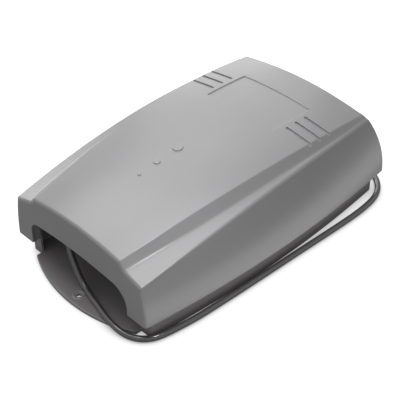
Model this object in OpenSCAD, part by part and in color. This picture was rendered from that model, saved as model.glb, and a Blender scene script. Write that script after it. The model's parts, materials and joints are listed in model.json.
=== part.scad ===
// Wall battery unit: a flared, crowned plastic cover over a back tray that holds two sealed
// 12 V batteries, a charger board and a bay where the cord comes in.
// Millimetres. The unit lies on its back: the wall plane is z = 0 and +Z points out of the wall.
// +Y runs from the cord end to the top end, and X is across. Each module works in case
// coordinates, with y = 0 at the cover's cord end, and placed() moves it to the part's frame.

/* [Cover] */
// Length of the cover at its lower edge
cover_len = 362; // [358:1:366]
// Half width of the lower edge at both ends
rim_half_w = 100; // [98:1:103]
// How far the lower edge bows out at mid length
rim_bow = 11.3; // [9:0.1:13]
// Thickness of the cover's wall
cover_wall = 2.8; // [2.2:0.1:3]
// Width of the front panel at the cord end, crease to crease
panel_w_cord = 129; // [124:1:132]
// Width of the front panel at the top end, crease to crease
panel_w_top = 172; // [168:1:174]
// Height of the crease above the lower edge at the cord end
crease_cord = 62.5; // [60:0.5:64]
// Height of the crease above the lower edge at the top end
crease_top = 83; // [82:0.5:85]
// How far the crease arches along its length
crease_arch = 13.5; // [12:0.5:15]
// How far the end wall leans back at the height of the crease
end_lean = 31; // [28:0.5:33]
// Exponent of the concave shoulder between the ridge and the crease
shoulder_power = 2.2; // [1.8:0.1:2.6]

/* [Cord opening] */
// Half width of the opening in the cord-end wall
arch_half_w = 74.5; // [70:0.5:76]
// Height of the opening above the lower edge
arch_h = 31; // [26:0.5:33]
// Corner radius of the opening
arch_r = 20; // [12:1:24]

/* [Front panel details] */
// Diameters of the three round pips, from the cord end
pip_d = [4, 7.6, 11.6];
// Their distances from the cord end
pip_y = [84.5, 108.5, 137];
// How far the pips stand up
pip_h = 1.3; // [0.8:0.1:1.6]
// Half width of the label recess
label_half_w = 48; // [44:0.5:50]
// Start of the label recess from the cord end
label_y0 = 227; // [224:1:229]
// Length of the label recess
label_len = 58; // [50:1:60]
// Depth of the label recess
label_depth = 0.9; // [0.6:0.1:1.2]
// Width of each grip groove
groove_w = 3.6; // [3:0.1:4.5]
// Depth of each grip groove
groove_depth = 1.5; // [1:0.1:1.8]
// Distances of the three grooves from the cord end
groove_y = [241.5, 256, 270.5];
// Where each groove starts, from the centre line
groove_x0 = 53.5; // [51:0.5:56]
// Where each groove runs out over the crease, from the centre line
groove_x1 = 89; // [87:0.5:90]

/* [Back tray] */
// Height of the cover's lower edge above the wall
tray_show = 25.7; // [24:0.1:27]
// How far the tray is set in from the cover's lower edge
tray_inset = 8.2; // [7.5:0.1:9]
// Thickness of the tray's floor
floor_t = 3.5; // [3:0.1:4]
// Thickness of the tray's walls
tray_wall_t = 2.5; // [2:0.1:3]
// Height of the tray's walls
tray_h = 38; // [36:1:40]
// Where the tray's cord end starts, behind the cover's
tray_y0 = 12; // [11:0.5:13]
// How far the mounting tongue reaches beyond the cover
tongue_reach = 14; // [12:0.5:15]
// Radius of the tongue's front edge
tongue_r = 174; // [170:1:180]
// Radius of the screw holes to the wall
screw_hole_r = 2.7; // [2.2:0.1:2.8]

/* [Batteries] */
// Length of one sealed battery
battery_len = 151; // [149:0.5:152]
// Width of one sealed battery
battery_w = 65; // [64:0.5:65.5]
// Height of one sealed battery's case
battery_h = 94; // [92:0.5:95]
// Distance of the batteries from the cord end
battery_y = 175; // [175:0.5:176]

/* [Charger board] */
// Width of the board
board_w = 140; // [130:1:144]
// Length of the board
board_len = 96; // [94:1:96]

/* [Cord] */
// Diameter of the cord
cord_d = 6.6; // [6.2:0.1:6.8]
// Radius at the end loops of the folded hank
hank_r = 19.8; // [19:0.1:20.5]
// Distance between the centres of the hank's end loops
hank_run = 86; // [84:1:90]

/* [Hidden] */

cover_grey = [0.64, 0.64, 0.65];
tray_grey = [0.36, 0.35, 0.36];
black = [0.09, 0.09, 0.1];
metal = [0.76, 0.77, 0.78];

ridge_cord = 48;             // height of the ridge above the lower edge, cord end
ridge_top = 78;              // and at the top end
ridge_arch = 11.6;           // its arch along the length
ridge_half_cord = 95;        // half width at the ridge, cord end
ridge_half_top = 92.2;       // and at the top end
ridge_bow = 6.9;             // its bow at mid length
crease_bow = 7.7;            // bow of the crease at mid length
crown_cord = 6;              // how far the panel crowns between the creases, cord end
crown_top = 8;               // and at the top end
lean_power = 1.8;            // the end wall starts upright and leans more with height
end_r = [2.5, 4];            // fillets round the cord-end and top-end faces
panel_len = cover_len - end_lean;
battery_gap = 2;
battery_z = floor_t + 2;
board_z = floor_t + 8;
board_t = 1.6;
board_y = tray_y0 + 58;
bulk_y = tray_y0 + 48;
bulk_t = 2.5;
cord_r = cord_d / 2;
boot = [-41, 38, 63];        // the end of the cord boot, where the cord comes free
hank_mid = [-41, 391];       // the middle of the hank
waist_r = 30;                // radius of each run's bend through the tie
hank_h = 2 * cord_d;
tie_w = 4.8;
tie_t = 1.2;
plug_at = [27, 366.3, 4.75]; // where the cord enters the connector, lying beside the hank

// The cord's centre line from the boot to the hank: out and down into the bay, over the
// tongue, round the corner, along the side on the wall plane and round behind the top end.
route = [[-41, 38, 63], [-40.6, 33.8, 62.1], [-39.5, 28.1, 59.8], [-37.6, 22.6, 56.3],
         [-34.8, 17.7, 51.4], [-30.5, 13.5, 44.4], [-24, 10.6, 34.2], [-19, 9.8, 27],
         [-13.5, 8.8, 20], [-6.5, 7.6, 13.6], [2.5, 5.8, 9.2], [12.5, 3.4, 7.3],
         [23.5, 1, 7], [35, -1.9, 7], [46, -4.8, 6.9], [57, -6.4, 6.7], [68, -5.9, 4.6],
         [79, -3.2, 3.4], [88, 1.5, 3.4], [95, 9, 3.4], [99, 18, 3.4], [101.6, 30, 3.4],
         [104, 47, 3.4], [106, 66, 3.4], [107.6, 100, 3.4], [108.8, 135, 3.4],
         [109.8, 172, 3.4], [110.8, 210, 3.4], [111.8, 242, 3.4], [112.6, 272, 3.4],
         [112.8, 298, 3.4], [111.6, 320, 3.4], [108.6, 338, 3.4], [102.5, 352, 3.4],
         [93.5, 363, 3.4], [81.5, 371.7, 3.4], [65, 380.8, 3.4], [45, 391, 3.4], [25, 401.4, 3.4],
         [18.5, 404.8, 3.4]];

// ---- rules of the cover's surface; s runs from 0 at the cord end to 1 at the top end

function bowed(s, a, b, bow) = a + (b - a) * s + 4 * bow * s * (1 - s);
function rim_x(s) = bowed(s, rim_half_w, rim_half_w, rim_bow);
function ridge_x(s) = bowed(s, ridge_half_cord, ridge_half_top, ridge_bow);
function ridge_z(s) = bowed(s, ridge_cord, ridge_top, ridge_arch);
function crease_x(s) = bowed(s, panel_w_cord / 2, panel_w_top / 2, crease_bow);
function crease_z(s) = bowed(s, crease_cord, crease_top, crease_arch);
function crown(s) = bowed(s, crown_cord, crown_top, 0);
function lean(z) = end_lean * pow(max(0, min(z, crease_top)) / crease_top, lean_power);
function panel_z(x, y) = let (s = y / panel_len)
    crease_z(s) + crown(s) * (1 - pow(x / crease_x(s), 2));
function fillet_in(d, r) = d >= r ? 0 : r - sqrt(max(0, r * r - pow(r - d, 2)));
function end_inset(s) = max(fillet_in(s * cover_len, end_r[0]),
                            fillet_in((1 - s) * cover_len, end_r[1]));

// Right half of the cross-section from the lower edge to the centre line, drawn in by t.
function half_section(s, t, foot) = concat(
    [for (k = [0:5]) let (f = k / 5)
        [rim_x(s) + (ridge_x(s) - rim_x(s)) * f - t, k == 0 ? foot : (ridge_z(s) - t) * f]],
    [for (k = [1:5]) let (f = k / 5)
        [ridge_x(s) - t + (crease_x(s) - ridge_x(s)) * f,
         ridge_z(s) - t + (crease_z(s) - ridge_z(s)) * pow(f, shoulder_power)]],
    [for (k = [1:6]) let (f = 1 - k / 6)
        [(crease_x(s) - t) * f, crease_z(s) - t + crown(s) * (1 - f * f)]]);
function mirrored(half) = concat(half, [for (k = [len(half) - 2:-1:0]) [-half[k][0], half[k][1]]]);

// A solid lofted through rings that are each symmetrical about x = 0.
module lofted(rings) {
    n = len(rings[0]);
    m = len(rings) - 1;
    h = (n - 1) / 2;
    sides = [for (j = [0:m - 1], i = [0:n - 1])
        let (a = j * n + i, b = j * n + (i + 1) % n) each [[a, b, b + n], [a, b + n, a + n]]];
    near = [for (i = [0:h - 1]) each i + 1 == n - 2 - i ? [[i, n - 1 - i, i + 1]]
        : [[i, n - 1 - i, n - 2 - i], [i, n - 2 - i, i + 1]]];
    far = [for (f = near) [f[0] + m * n, f[2] + m * n, f[1] + m * n]];
    polyhedron([for (r = rings) each r],
               [for (f = concat(sides, near, far)) if (f[0] != f[1] && f[1] != f[2]) f],
               convexity = 8);
}

// The cover's outer form, or its hollow when drawn in by t.
module cover_form(t, foot) {
    near = t > 0 ? [] : [for (d = [0.4, 1.3]) d / cover_len];
    far = t > 0 ? [] : [for (d = [2, 0.6]) 1 - d / cover_len];
    rows = concat([0], near, [for (k = [0:14]) bowed(k / 14, 2.5, cover_len - 4, 0) / cover_len],
                  far, [1]);
    lofted([for (s = rows) let (in = t > 0 ? t : end_inset(s))
        [for (p = mirrored(half_section(s, in, foot)))
            [p[0], t + s * (cover_len - 2 * t - lean(p[1])), p[1] + tray_show]]]);
}

// A block whose underside follows the front panel at a depth below it.
module panel_cut(x0, x1, y0, y1, depth, nx, ny) {
    function at(x, k) = let (y = y0 + (y1 - y0) * k / ny) [x, y, panel_z(x, y) + tray_show - depth];
    n = ny + 3;
    points = [for (i = [0:nx]) let (x = x0 + (x1 - x0) * i / nx)
        each concat([for (k = [0:ny]) at(x, k)], [[x, y1, 150], [x, y0, 150]])];
    sides = [for (i = [0:nx - 1], k = [0:n - 1]) let (a = i * n + k, b = i * n + (k + 1) % n)
        each [[a, b + n, b], [a, a + n, b + n]]];
    ends = concat([for (k = [1:ny]) [n - 1, k - 1, k]], [[n - 1, ny, n - 2]]);
    polyhedron(points, concat(sides, ends, [for (f = ends) [f[0], f[2], f[1]] + nx * n * [1, 1, 1]]),
               convexity = 4);
}

// The plan of the tray: the lower edge's bowed outline drawn in, between two cross lines.
function plan_side(in, y0, y1) =
    [for (y = concat([y0, y0 + 0.4, y0 + 1.3], [for (k = [0:20]) bowed(k / 20, y0 + 3, y1 - 6, 0)],
                     [y1 - 3.4, y1 - 1.5, y1 - 0.4, y1]))
        [rim_x(y / cover_len) - in - max(fillet_in(y - y0, 3), fillet_in(y1 - y, 6)), y]];
module plan(in, y0, y1) {
    side = plan_side(in, y0, y1);
    polygon(concat(side, [for (k = [len(side) - 1:-1:0]) [-side[k][0], side[k][1]]]));
}

// ---- cords and leads: a tube swept along a smooth curve through hand-placed points

function spline(p, n) = let (q = concat([2 * p[0] - p[1]], p, [2 * p[len(p) - 1] - p[len(p) - 2]]))
    concat([for (i = [1:len(q) - 3], k = [0:n - 1]) let (t = k / n)
        0.5 * (2 * q[i] + t * (q[i + 1] - q[i - 1])
            + t * t * (2 * q[i - 1] - 5 * q[i] + 4 * q[i + 1] - q[i + 2])
            + t * t * t * (3 * q[i] - q[i - 1] - 3 * q[i + 1] + q[i + 2]))], [p[len(p) - 1]]);
function unit(v) = v / norm(v);
function heading(p, i) = unit(p[min(i + 1, len(p) - 1)] - p[max(i - 1, 0)]);
function carried(p, n, i = 0) = i == len(p) ? [] :
    let (t = heading(p, i), m = unit(n - (n * t) * t)) concat([[m, cross(t, m)]], carried(p, m, i + 1));
module tube(points, r, sides = 8, smooth = 2, start = [1, 0, 0]) {
    line = spline(points, smooth);
    frames = carried(line, start);
    m = len(line) - 1;
    polyhedron([for (i = [0:m], k = [0:sides - 1]) let (a = 360 * k / sides)
                    line[i] + r * (cos(a) * frames[i][0] + sin(a) * frames[i][1])],
               concat([for (i = [0:m - 1], k = [0:sides - 1])
                   let (a = i * sides + k, b = i * sides + (k + 1) % sides)
                   each [[a, b + sides, b], [a, a + sides, b + sides]]],
                   [[for (k = [0:sides - 1]) k], [for (k = [sides - 1:-1:0]) m * sides + k]]),
               convexity = 8);
}

module placed() translate([0, -(cover_len - tongue_reach) / 2, 0]) children();
module both_sides() { children(); mirror([1, 0, 0]) children(); }
// A solid of revolution about a line along +Y through the given point; profile x is the radius.
module turned_y(at) translate(at) rotate([-90, 0, 0]) rotate_extrude($fn = 48) children();

// ---- cover

module pip(d, y) {
    tilt = atan2(panel_z(0, y + 1) - panel_z(0, y - 1), 2);
    translate([0, y, panel_z(0, y) + tray_show]) rotate([tilt, 0, 0]) {
        translate([0, 0, -1]) cylinder(d = d, h = pip_h + 0.6, $fn = 48);
        translate([0, 0, pip_h - 0.4]) cylinder(d1 = d, d2 = d - 0.8, h = 0.4, $fn = 48);
    }
}

// One grip groove with round ends; its outer end runs out over the crease.
module groove(y) {
    r = groove_w / 2;
    intersection() {
        panel_cut(groove_x0 - 1, groove_x1 + 1, y - r - 1, y + r + 1, groove_depth, 6, 1);
        union() {
            translate([groove_x0 + r, y - r, 0]) cube([groove_x1 - groove_x0 - 2 * r, groove_w, 149]);
            for (x = [groove_x0 + r, groove_x1 - r]) translate([x, y, 0]) cylinder(r = r, h = 149, $fn = 24);
        }
    }
}

// A gusset inside the cover's side wall; its foot rests on the tray's wall.
module gusset(y) {
    s = y / cover_len;
    x0 = rim_x(s) - tray_inset - tray_wall_t;
    lean_in = (rim_x(s) - ridge_x(s)) / ridge_z(s);
    x_at = function (z) rim_x(s) - lean_in * (z - tray_show) - cover_wall + 1;
    translate([0, y + 1.2, 0]) rotate([90, 0, 0]) linear_extrude(2.4)
        polygon([[x0, tray_h], [x_at(tray_h), tray_h], [x_at(tray_h + 20), tray_h + 20]]);
}

module front_cover() color(cover_grey) placed() {
    difference() {
        cover_form(0, 0);
        cover_form(cover_wall, -1);
        // the opening for the cord
        translate([0, 10, tray_show]) rotate([90, 0, 0]) linear_extrude(20) {
            translate([-arch_half_w, -1]) square([2 * arch_half_w, arch_h - arch_r + 1]);
            translate([arch_r - arch_half_w, -1]) square([2 * (arch_half_w - arch_r), arch_h + 1]);
            for (x = [-1, 1]) translate([x * (arch_half_w - arch_r), arch_h - arch_r])
                circle(r = arch_r, $fn = 64);
        }
        panel_cut(-label_half_w, label_half_w, label_y0, label_y0 + label_len, label_depth, 8, 3);
        both_sides() for (y = groove_y) groove(y);
    }
    for (k = [0:2]) pip(pip_d[k], pip_y[k]);
    both_sides() for (y = [90, 182, 285]) gusset(y);
}

// ---- back tray

module screw_seat(x, y) translate([x, y, floor_t - 0.5]) cylinder(r = 5.35, h = 1.3, $fn = 48);
module screw_bore(x, y) translate([x, y, -1]) cylinder(r = screw_hole_r, h = 12, $fn = 48);

far_y = cover_len - tray_inset;
board_posts_y = [6, board_len - 6];
boss_y = battery_y + battery_len / 2;

// The floor of the tray with its mounting tongue.
module back_plate() color(tray_grey) placed() difference() {
    union() {
        linear_extrude(floor_t) {
            plan(tray_inset, tray_y0, far_y);
            intersection() {
                translate([0, tongue_r - tongue_reach]) circle(r = tongue_r, $fn = 240);
                translate([-79, -tongue_reach - 1]) square([158, tongue_reach + tray_y0 + 4]);
            }
        }
        screw_seat(0, -2);
        both_sides() screw_seat(60, far_y - 13);
    }
    screw_bore(0, -2);
    both_sides() screw_bore(60, far_y - 13);
}

// The tray's wall round three sides; it is open towards the cord.
module tray_wall() color(tray_grey) placed() translate([0, 0, floor_t])
    linear_extrude(tray_h - floor_t) difference() {
        plan(tray_inset, tray_y0, far_y);
        plan(tray_inset + tray_wall_t, tray_y0 + tray_wall_t, far_y - tray_wall_t);
        translate([-79, tray_y0 - 1]) square([158, tray_wall_t + 2]);
    }

// What stands on the tray's floor: bulkhead guides, board posts, strap bosses, battery ribs.
module tray_posts() color(tray_grey) placed() translate([0, 0, floor_t]) both_sides() {
    for (y = [bulk_y - 2, bulk_y + bulk_t]) translate([70, y, 0]) cube([14, 2, 8.5]);
    for (y = board_posts_y) translate([board_w / 2 - 6, board_y + y, 0]) difference() {
        cylinder(r = 4, h = board_z - floor_t, $fn = 32);
        translate([0, 0, 1]) cylinder(r = 1.3, h = 20, $fn = 24);
    }
    translate([77, boss_y, 0]) difference() {
        cylinder(r = 5, h = 12, $fn = 32);
        translate([0, 0, 1]) cylinder(r = 1.7, h = 20, $fn = 24);
    }
    for (y = [battery_y - 2.4, battery_y + battery_len + 0.4]) translate([8, y, 0]) cube([50, 2, 8.5]);
    for (y = [battery_y + 12, battery_y + battery_len - 44])
        translate([battery_w + battery_gap / 2 + 0.4, y, 0]) cube([2, 32, 8.5]);
}

module bulkhead() color(black) placed() difference() {
    translate([0, bulk_y + bulk_t, 0]) rotate([90, 0, 0]) linear_extrude(bulk_t)
        polygon([[-84, floor_t], [84, floor_t], [84, 76], [70, 88], [-70, 88], [-84, 76]]);
    translate([boot[0], bulk_y - 1, boot[2]]) rotate([-90, 0, 0]) cylinder(r = 6.5, h = 5, $fn = 48);
}

// ---- batteries

// side is -1 for the left battery and 1 for the right one
module battery(side) {
    x0 = side < 0 ? -battery_w - battery_gap / 2 : battery_gap / 2;
    translate([x0, battery_y, battery_z]) difference() {
        union() {
            translate([0.6, 0.6, 0]) cube([battery_w - 1.2, battery_len - 1.2, battery_h - 8.5]);
            translate([0, 0, 0.8]) cube([battery_w, battery_len, battery_h - 10.5]);
            translate([0, 0, battery_h - 8.5]) cube([battery_w, battery_len, 8.5]);
        }
        // shallow panel round the valve cover
        translate([12, 22, battery_h - 0.8]) cube([battery_w - 24, battery_len - 40, 2]);
    }
}
module tabs(side) for (x = [13, 53.5]) translate([side * x - 3.15, battery_y + 7.6, battery_z + battery_h])
    difference() {
        cube([6.3, 0.8, 6.4]);
        translate([3.15, -1, 4.2]) rotate([-90, 0, 0]) cylinder(r = 0.9, h = 3, $fn = 24);
    }

module battery_left() color([0.2, 0.21, 0.23]) placed() battery(-1);
module battery_right() color([0.2, 0.21, 0.23]) placed() battery(1);
module tabs_left() color(metal) placed() tabs(-1);
module tabs_right() color(metal) placed() tabs(1);
module battery_pads() color([0.14, 0.14, 0.15]) placed() {
    both_sides() translate([5, battery_y + 4, floor_t]) cube([56, battery_len - 8, 2]);
    translate([-battery_gap / 2, battery_y + 20, battery_z]) cube([battery_gap, battery_len - 40, 60]);
}

strap_w = 20;
strap_t = 1.5;
module battery_strap() color(metal) placed() {
    top = battery_z + battery_h;
    y = boss_y - strap_w / 2;
    leg = battery_w + battery_gap / 2 + 0.4;
    foot_z = floor_t + 12;
    difference() {
        union() {
            translate([-leg - strap_t, y, top]) cube([2 * (leg + strap_t), strap_w, strap_t]);
            both_sides() {
                translate([leg, y, foot_z]) cube([strap_t, strap_w, top - foot_z + strap_t]);
                translate([leg, y, foot_z]) cube([17, strap_w, strap_t]);
            }
        }
        both_sides() translate([77, y + strap_w / 2, foot_z - 1]) cylinder(r = 2.2, h = 4, $fn = 24);
    }
}
module strap_screws() color(metal) placed() both_sides()
    translate([77, boss_y, floor_t + 12 + strap_t]) {
        difference() {
            cylinder(r = 3.8, h = 2.4, $fn = 32);
            for (a = [0, 90]) rotate(a) translate([-2.2, -0.4, 1.2]) cube([4.4, 0.8, 2]);
        }
        translate([0, 0, -9]) cylinder(r = 1.6, h = 9.5, $fn = 24);
    }

// ---- charger board

board_top = board_z + board_t;
module on_board(x, y) translate([x, board_y + y, board_top]) children();

module charger_board() color([0.1, 0.36, 0.2]) placed() difference() {
    translate([-board_w / 2, board_y, board_z]) cube([board_w, board_len, board_t]);
    both_sides() for (y = board_posts_y) translate([board_w / 2 - 6, board_y + y, board_z - 1])
        cylinder(r = 1.8, h = 4, $fn = 24);
}
module board_screws() color(metal) placed() both_sides() for (y = board_posts_y)
    on_board(board_w / 2 - 6, y) {
        difference() {
            cylinder(r = 3, h = 2, $fn = 32);
            for (a = [0, 90]) rotate(a) translate([-1.8, -0.35, 1]) cube([3.6, 0.7, 2]);
        }
        translate([0, 0, -8]) cylinder(r = 1.2, h = 8.5, $fn = 24);
    }
module choke() color([0.62, 0.36, 0.18]) placed() on_board(40, 30) {
    translate([0, 0, 9]) rotate_extrude($fn = 64) translate([13, 0]) circle(r = 6.5, $fn = 32);
    cylinder(r = 4, h = 5, $fn = 32);
    translate([-16, -3, 0]) cube([32, 6, 3.5]);
}
module relays() color([0.13, 0.2, 0.42]) placed() for (x = [-52, -28])
    on_board(x, 62) union() {
        translate([-10, -8, 0]) cube([20, 16, 15]);
        translate([-9.5, -7.5, 15]) cube([19, 15, 0.8]);
    }
module capacitors() color([0.12, 0.16, 0.3]) placed() for (c = [[-4, 32, 9, 27], [-4, 54, 8, 22], [14, 50, 6.5, 18]])
    on_board(c[0], c[1]) {
        cylinder(r = c[2], h = c[3], $fn = 40);
        cylinder(r = c[2] + 0.4, h = 2.5, $fn = 40);
    }
module heat_sink() color([0.72, 0.73, 0.74]) placed() on_board(42, 66) {
    translate([-22, -2, 0]) cube([44, 4, 32]);
    for (k = [0:7]) translate([-22 + 6 * k, 1, 0]) cube([1.6, 13, 32]);
}
module power_transistors() color(black) placed() for (x = [30, 54]) on_board(x, 62.5) {
    translate([-5, -3, 6]) cube([10, 4.5, 9]);
    translate([-5, 0.2, 15]) cube([10, 1.3, 6]);
    for (k = [-1:1]) translate([2.5 * k - 0.4, -1.2, 0]) cube([0.8, 0.6, 6.5]);
}
module terminal_block() color([0.16, 0.42, 0.22]) placed() on_board(-41, 14) difference() {
    union() {
        translate([-12.7, -5.5, 0]) cube([25.4, 11, 8]);
        translate([-12.7, -3.5, 8]) cube([25.4, 9, 3]);
    }
    for (x = [-9.5, -3.2, 3.2, 9.5]) translate([x, 1.5, 5]) cylinder(r = 2, h = 8, $fn = 24);
}
module fuse_clips() color(metal) placed() for (y = [24, 40]) on_board(-30, y) difference() {
    translate([-4.6, -2.5, 0]) cube([9.2, 5, 8.5]);
    translate([0, -3, 5.2]) rotate([-90, 0, 0]) cylinder(r = 3.25, h = 6, $fn = 32);
    translate([-2.2, -3, 5]) cube([4.4, 6, 5]);
}
module fuse_tube() color([0.8, 0.85, 0.86, 0.5]) placed()
    turned_y([-30, board_y + 25.5, board_top + 5.2]) square([2.7, 13]);
module fuse_caps() color(metal) placed() for (y = [22, 38.5])
    turned_y([-30, board_y + y, board_top + 5.2]) square([3.15, 3.5]);
module battery_header() color([0.85, 0.84, 0.8]) placed() on_board(0, 86) difference() {
    translate([-9, -4.5, 0]) cube([18, 9, 9]);
    for (x = [-4, 4]) translate([x, 0, 5]) cylinder(r = 2.1, h = 6, $fn = 24);
}
module controller_chip() color(black) placed() on_board(6, 12) {
    translate([-17, -3.3, 0.9]) cube([34, 6.6, 3.4]);
    for (k = [0:13], y = [-4.2, 3.2]) translate([-16.5 + 2.54 * k - 0.25, y, 0]) cube([0.5, 1, 2.4]);
}
module status_led() color([0.2, 0.75, 0.3]) placed() on_board(48, 88) {
    cylinder(r = 2.9, h = 1, $fn = 32);
    cylinder(r = 2.5, h = 5, $fn = 32);
    translate([0, 0, 5]) intersection() {
        sphere(r = 2.5, $fn = 32);
        translate([-3, -3, 0]) cube(6);
    }
}

// ---- leads inside the case

tab_z = battery_z + battery_h;
module push_on(x) translate([x - 4, battery_y + 6.4, tab_z + 0.4]) cube([8, 3.2, 8]);
// A lead from an outer battery tab down the batteries' front to the header on the board.
module header_lead(side) {
    push_on(side * 53.5);
    y = battery_y - 4.8;
    tube([[side * 53.5, battery_y + 6.4, tab_z + 4.4], [side * 53.5, battery_y + 1, tab_z + 3.6],
          [side * 53, y + 1.5, tab_z - 2], [side * 52, y, tab_z - 14], [side * 49, y, tab_z - 34],
          [side * 42, y, tab_z - 54], [side * 30, y - 0.5, tab_z - 66], [side * 17, y - 4, tab_z - 71],
          [side * 8, y - 9, tab_z - 71.5], [side * 4.4, y - 13, tab_z - 74],
          [side * 4, board_y + 86, tab_z - 78], [side * 4, board_y + 86, board_top + 5]],
         1.8, 8, 2, [0, 1, 0]);
}
module positive_lead() color([0.7, 0.1, 0.09]) placed() header_lead(1);
module negative_lead() color(black) placed() header_lead(-1);
module link_lead() color([0.7, 0.1, 0.09]) placed() {
    push_on(13);
    push_on(-13);
    tube([[-13, battery_y + 6.4, tab_z + 4.4], [-12.6, battery_y + 2, tab_z + 4.4],
          [-9, battery_y - 2, tab_z + 4.4], [0, battery_y - 3.4, tab_z + 4.4],
          [9, battery_y - 2, tab_z + 4.4], [12.6, battery_y + 2, tab_z + 4.4],
          [13, battery_y + 6.4, tab_z + 4.4]], 1.8, 8, 2, [0, 0, 1]);
}
// The cord's inner end: its sheath through the boot, then two cores down to the terminal block.
module feed_cores() color([0.12, 0.12, 0.13]) placed() {
    turned_y(boot) square([cord_r, 33]);
    for (k = [-1, 1]) tube([[boot[0] + 1.5 * k, boot[1] + 32.5, boot[2]], [boot[0] + 1.8 * k, boot[1] + 38, 60],
        [boot[0] + 2.4 * k, board_y + 13.5, 50], [boot[0] + 3.2 * k, board_y + 15.5, 38],
        [boot[0] + 3.2 * k, board_y + 15.5, board_top + 5]], 1.3, 8, 2);
}

// ---- the cord and what is on it

module cord_boot() color(black) placed() turned_y(boot) polygon([[cord_r, 0], [4.7, 0], [7, bulk_y - boot[1] - 3],
    [9, bulk_y - boot[1] - 3], [9, bulk_y - boot[1]], [6.5, bulk_y - boot[1]],
    [6.5, bulk_y - boot[1] + bulk_t], [8, bulk_y - boot[1] + bulk_t], [8, bulk_y - boot[1] + bulk_t + 2.5],
    [cord_r, bulk_y - boot[1] + bulk_t + 2.5]]);
module cord() color(black) placed() tube(route, cord_r, 10, 2);

// Half angle between the hank's two runs where they leave an end loop.
hank_turn = asin((hank_r + waist_r) / norm([hank_run / 2, cord_r + waist_r]))
    - atan2(cord_r + waist_r, hank_run / 2);

// Plan of the hank: an end loop at each side and two runs drawn together at the tie.
module hank_plan() {
    loop_r = hank_r + cord_r;
    bend_r = waist_r - cord_r;
    quarter = concat([[tie_w / 2, cord_d]],
        [for (k = [1, 2]) let (a = hank_turn * k / 2) [bend_r * sin(a), cord_d + bend_r * (1 - cos(a))]],
        [for (k = [0:10]) let (a = (90 + hank_turn) * (1 - k / 10))
            [hank_run / 2 + loop_r * cos(a), loop_r * sin(a)]]);
    half = concat(quarter, [for (k = [len(quarter) - 2:-1:0]) [quarter[k][0], -quarter[k][1]]]);
    polygon(concat(half, -half));
}
module tie_band() translate([hank_mid[0] - tie_w / 2, hank_mid[1] - cord_d - tie_t, 0]) difference() {
    cube([tie_w, 2 * (cord_d + tie_t), hank_h + 2 * tie_t]);
    translate([-1, tie_t, tie_t]) cube([tie_w + 2, 2 * cord_d, hank_h]);
}
// The hank rides up over the tie's lower band, so it is raised at the waist.
module cord_hank() color(black) placed() {
    translate([hank_mid[0], hank_mid[1], 0]) {
        difference() {
            linear_extrude(hank_h) hank_plan();
            translate([-tie_w / 2, -10, -1]) cube([tie_w, 20, 1 + tie_t]);
        }
        translate([-8, 0.4 - cord_d, hank_h - 1]) cube([16, 2 * cord_d - 0.8, 1 + tie_t]);
    }
    // the last of the cord, from the hank to the connector
    translate([0, 0, plug_at[2] - cord_r]) linear_extrude(cord_d)
        polygon([[plug_at[0], plug_at[1] - cord_r], [plug_at[0], plug_at[1] + cord_r],
                 [plug_at[0] - 14, plug_at[1] + 5], [plug_at[0] - 24, plug_at[1] + 7],
                 [plug_at[0] - 24, plug_at[1] + 2], [plug_at[0] - 14, plug_at[1] - 1.8]]);
}
module cord_tie() color([0.16, 0.16, 0.17]) placed() {
    tie_band();
    translate([hank_mid[0] - 3.4, hank_mid[1] - 4, hank_h + 2 * tie_t]) cube([6.8, 8, 3.4]);
}
// The connector: a tapered sleeve, a body with a latch on top, and its mouth.
module cord_plug() color(black) placed() translate([plug_at[0], plug_at[1], 0]) {
    translate([20, -6.5, 0]) difference() {
        cube([16, 13, 9.5]);
        translate([7, 1.4, 1.4]) cube([12, 10.2, 6.7]);
    }
    translate([0, 0, plug_at[2]]) rotate([0, 90, 0]) cylinder(r1 = 3.6, r2 = 4.7, h = 20.5, $fn = 40);
    translate([27, -2, 9]) cube([8, 4, 1.4]);
}
module plug_sockets() color(metal) placed() translate([plug_at[0], plug_at[1], 0])
    for (y = [-2.6, 2.6]) translate([27, y - 1.2, 3.5]) cube([7.5, 2.4, 2.6]);

front_cover();
back_plate();
tray_wall();
tray_posts();
bulkhead();
battery_left();
battery_right();
tabs_left();
tabs_right();
battery_pads();
battery_strap();
strap_screws();
charger_board();
board_screws();
choke();
relays();
capacitors();
heat_sink();
power_transistors();
terminal_block();
fuse_clips();
fuse_tube();
fuse_caps();
battery_header();
controller_chip();
status_led();
positive_lead();
negative_lead();
link_lead();
feed_cores();
cord_boot();
cord();
cord_hank();
cord_tie();
cord_plug();
plug_sockets();
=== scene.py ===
"""Looks of the wall battery unit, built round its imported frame. Metres, in the frame's own axes:
the unit lies on its back, +Z points out of the wall and +Y runs from the cord end to the top end."""
import json
import math

import bmesh
import bpy
import numpy as np
from mathutils import Matrix, Vector

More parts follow.
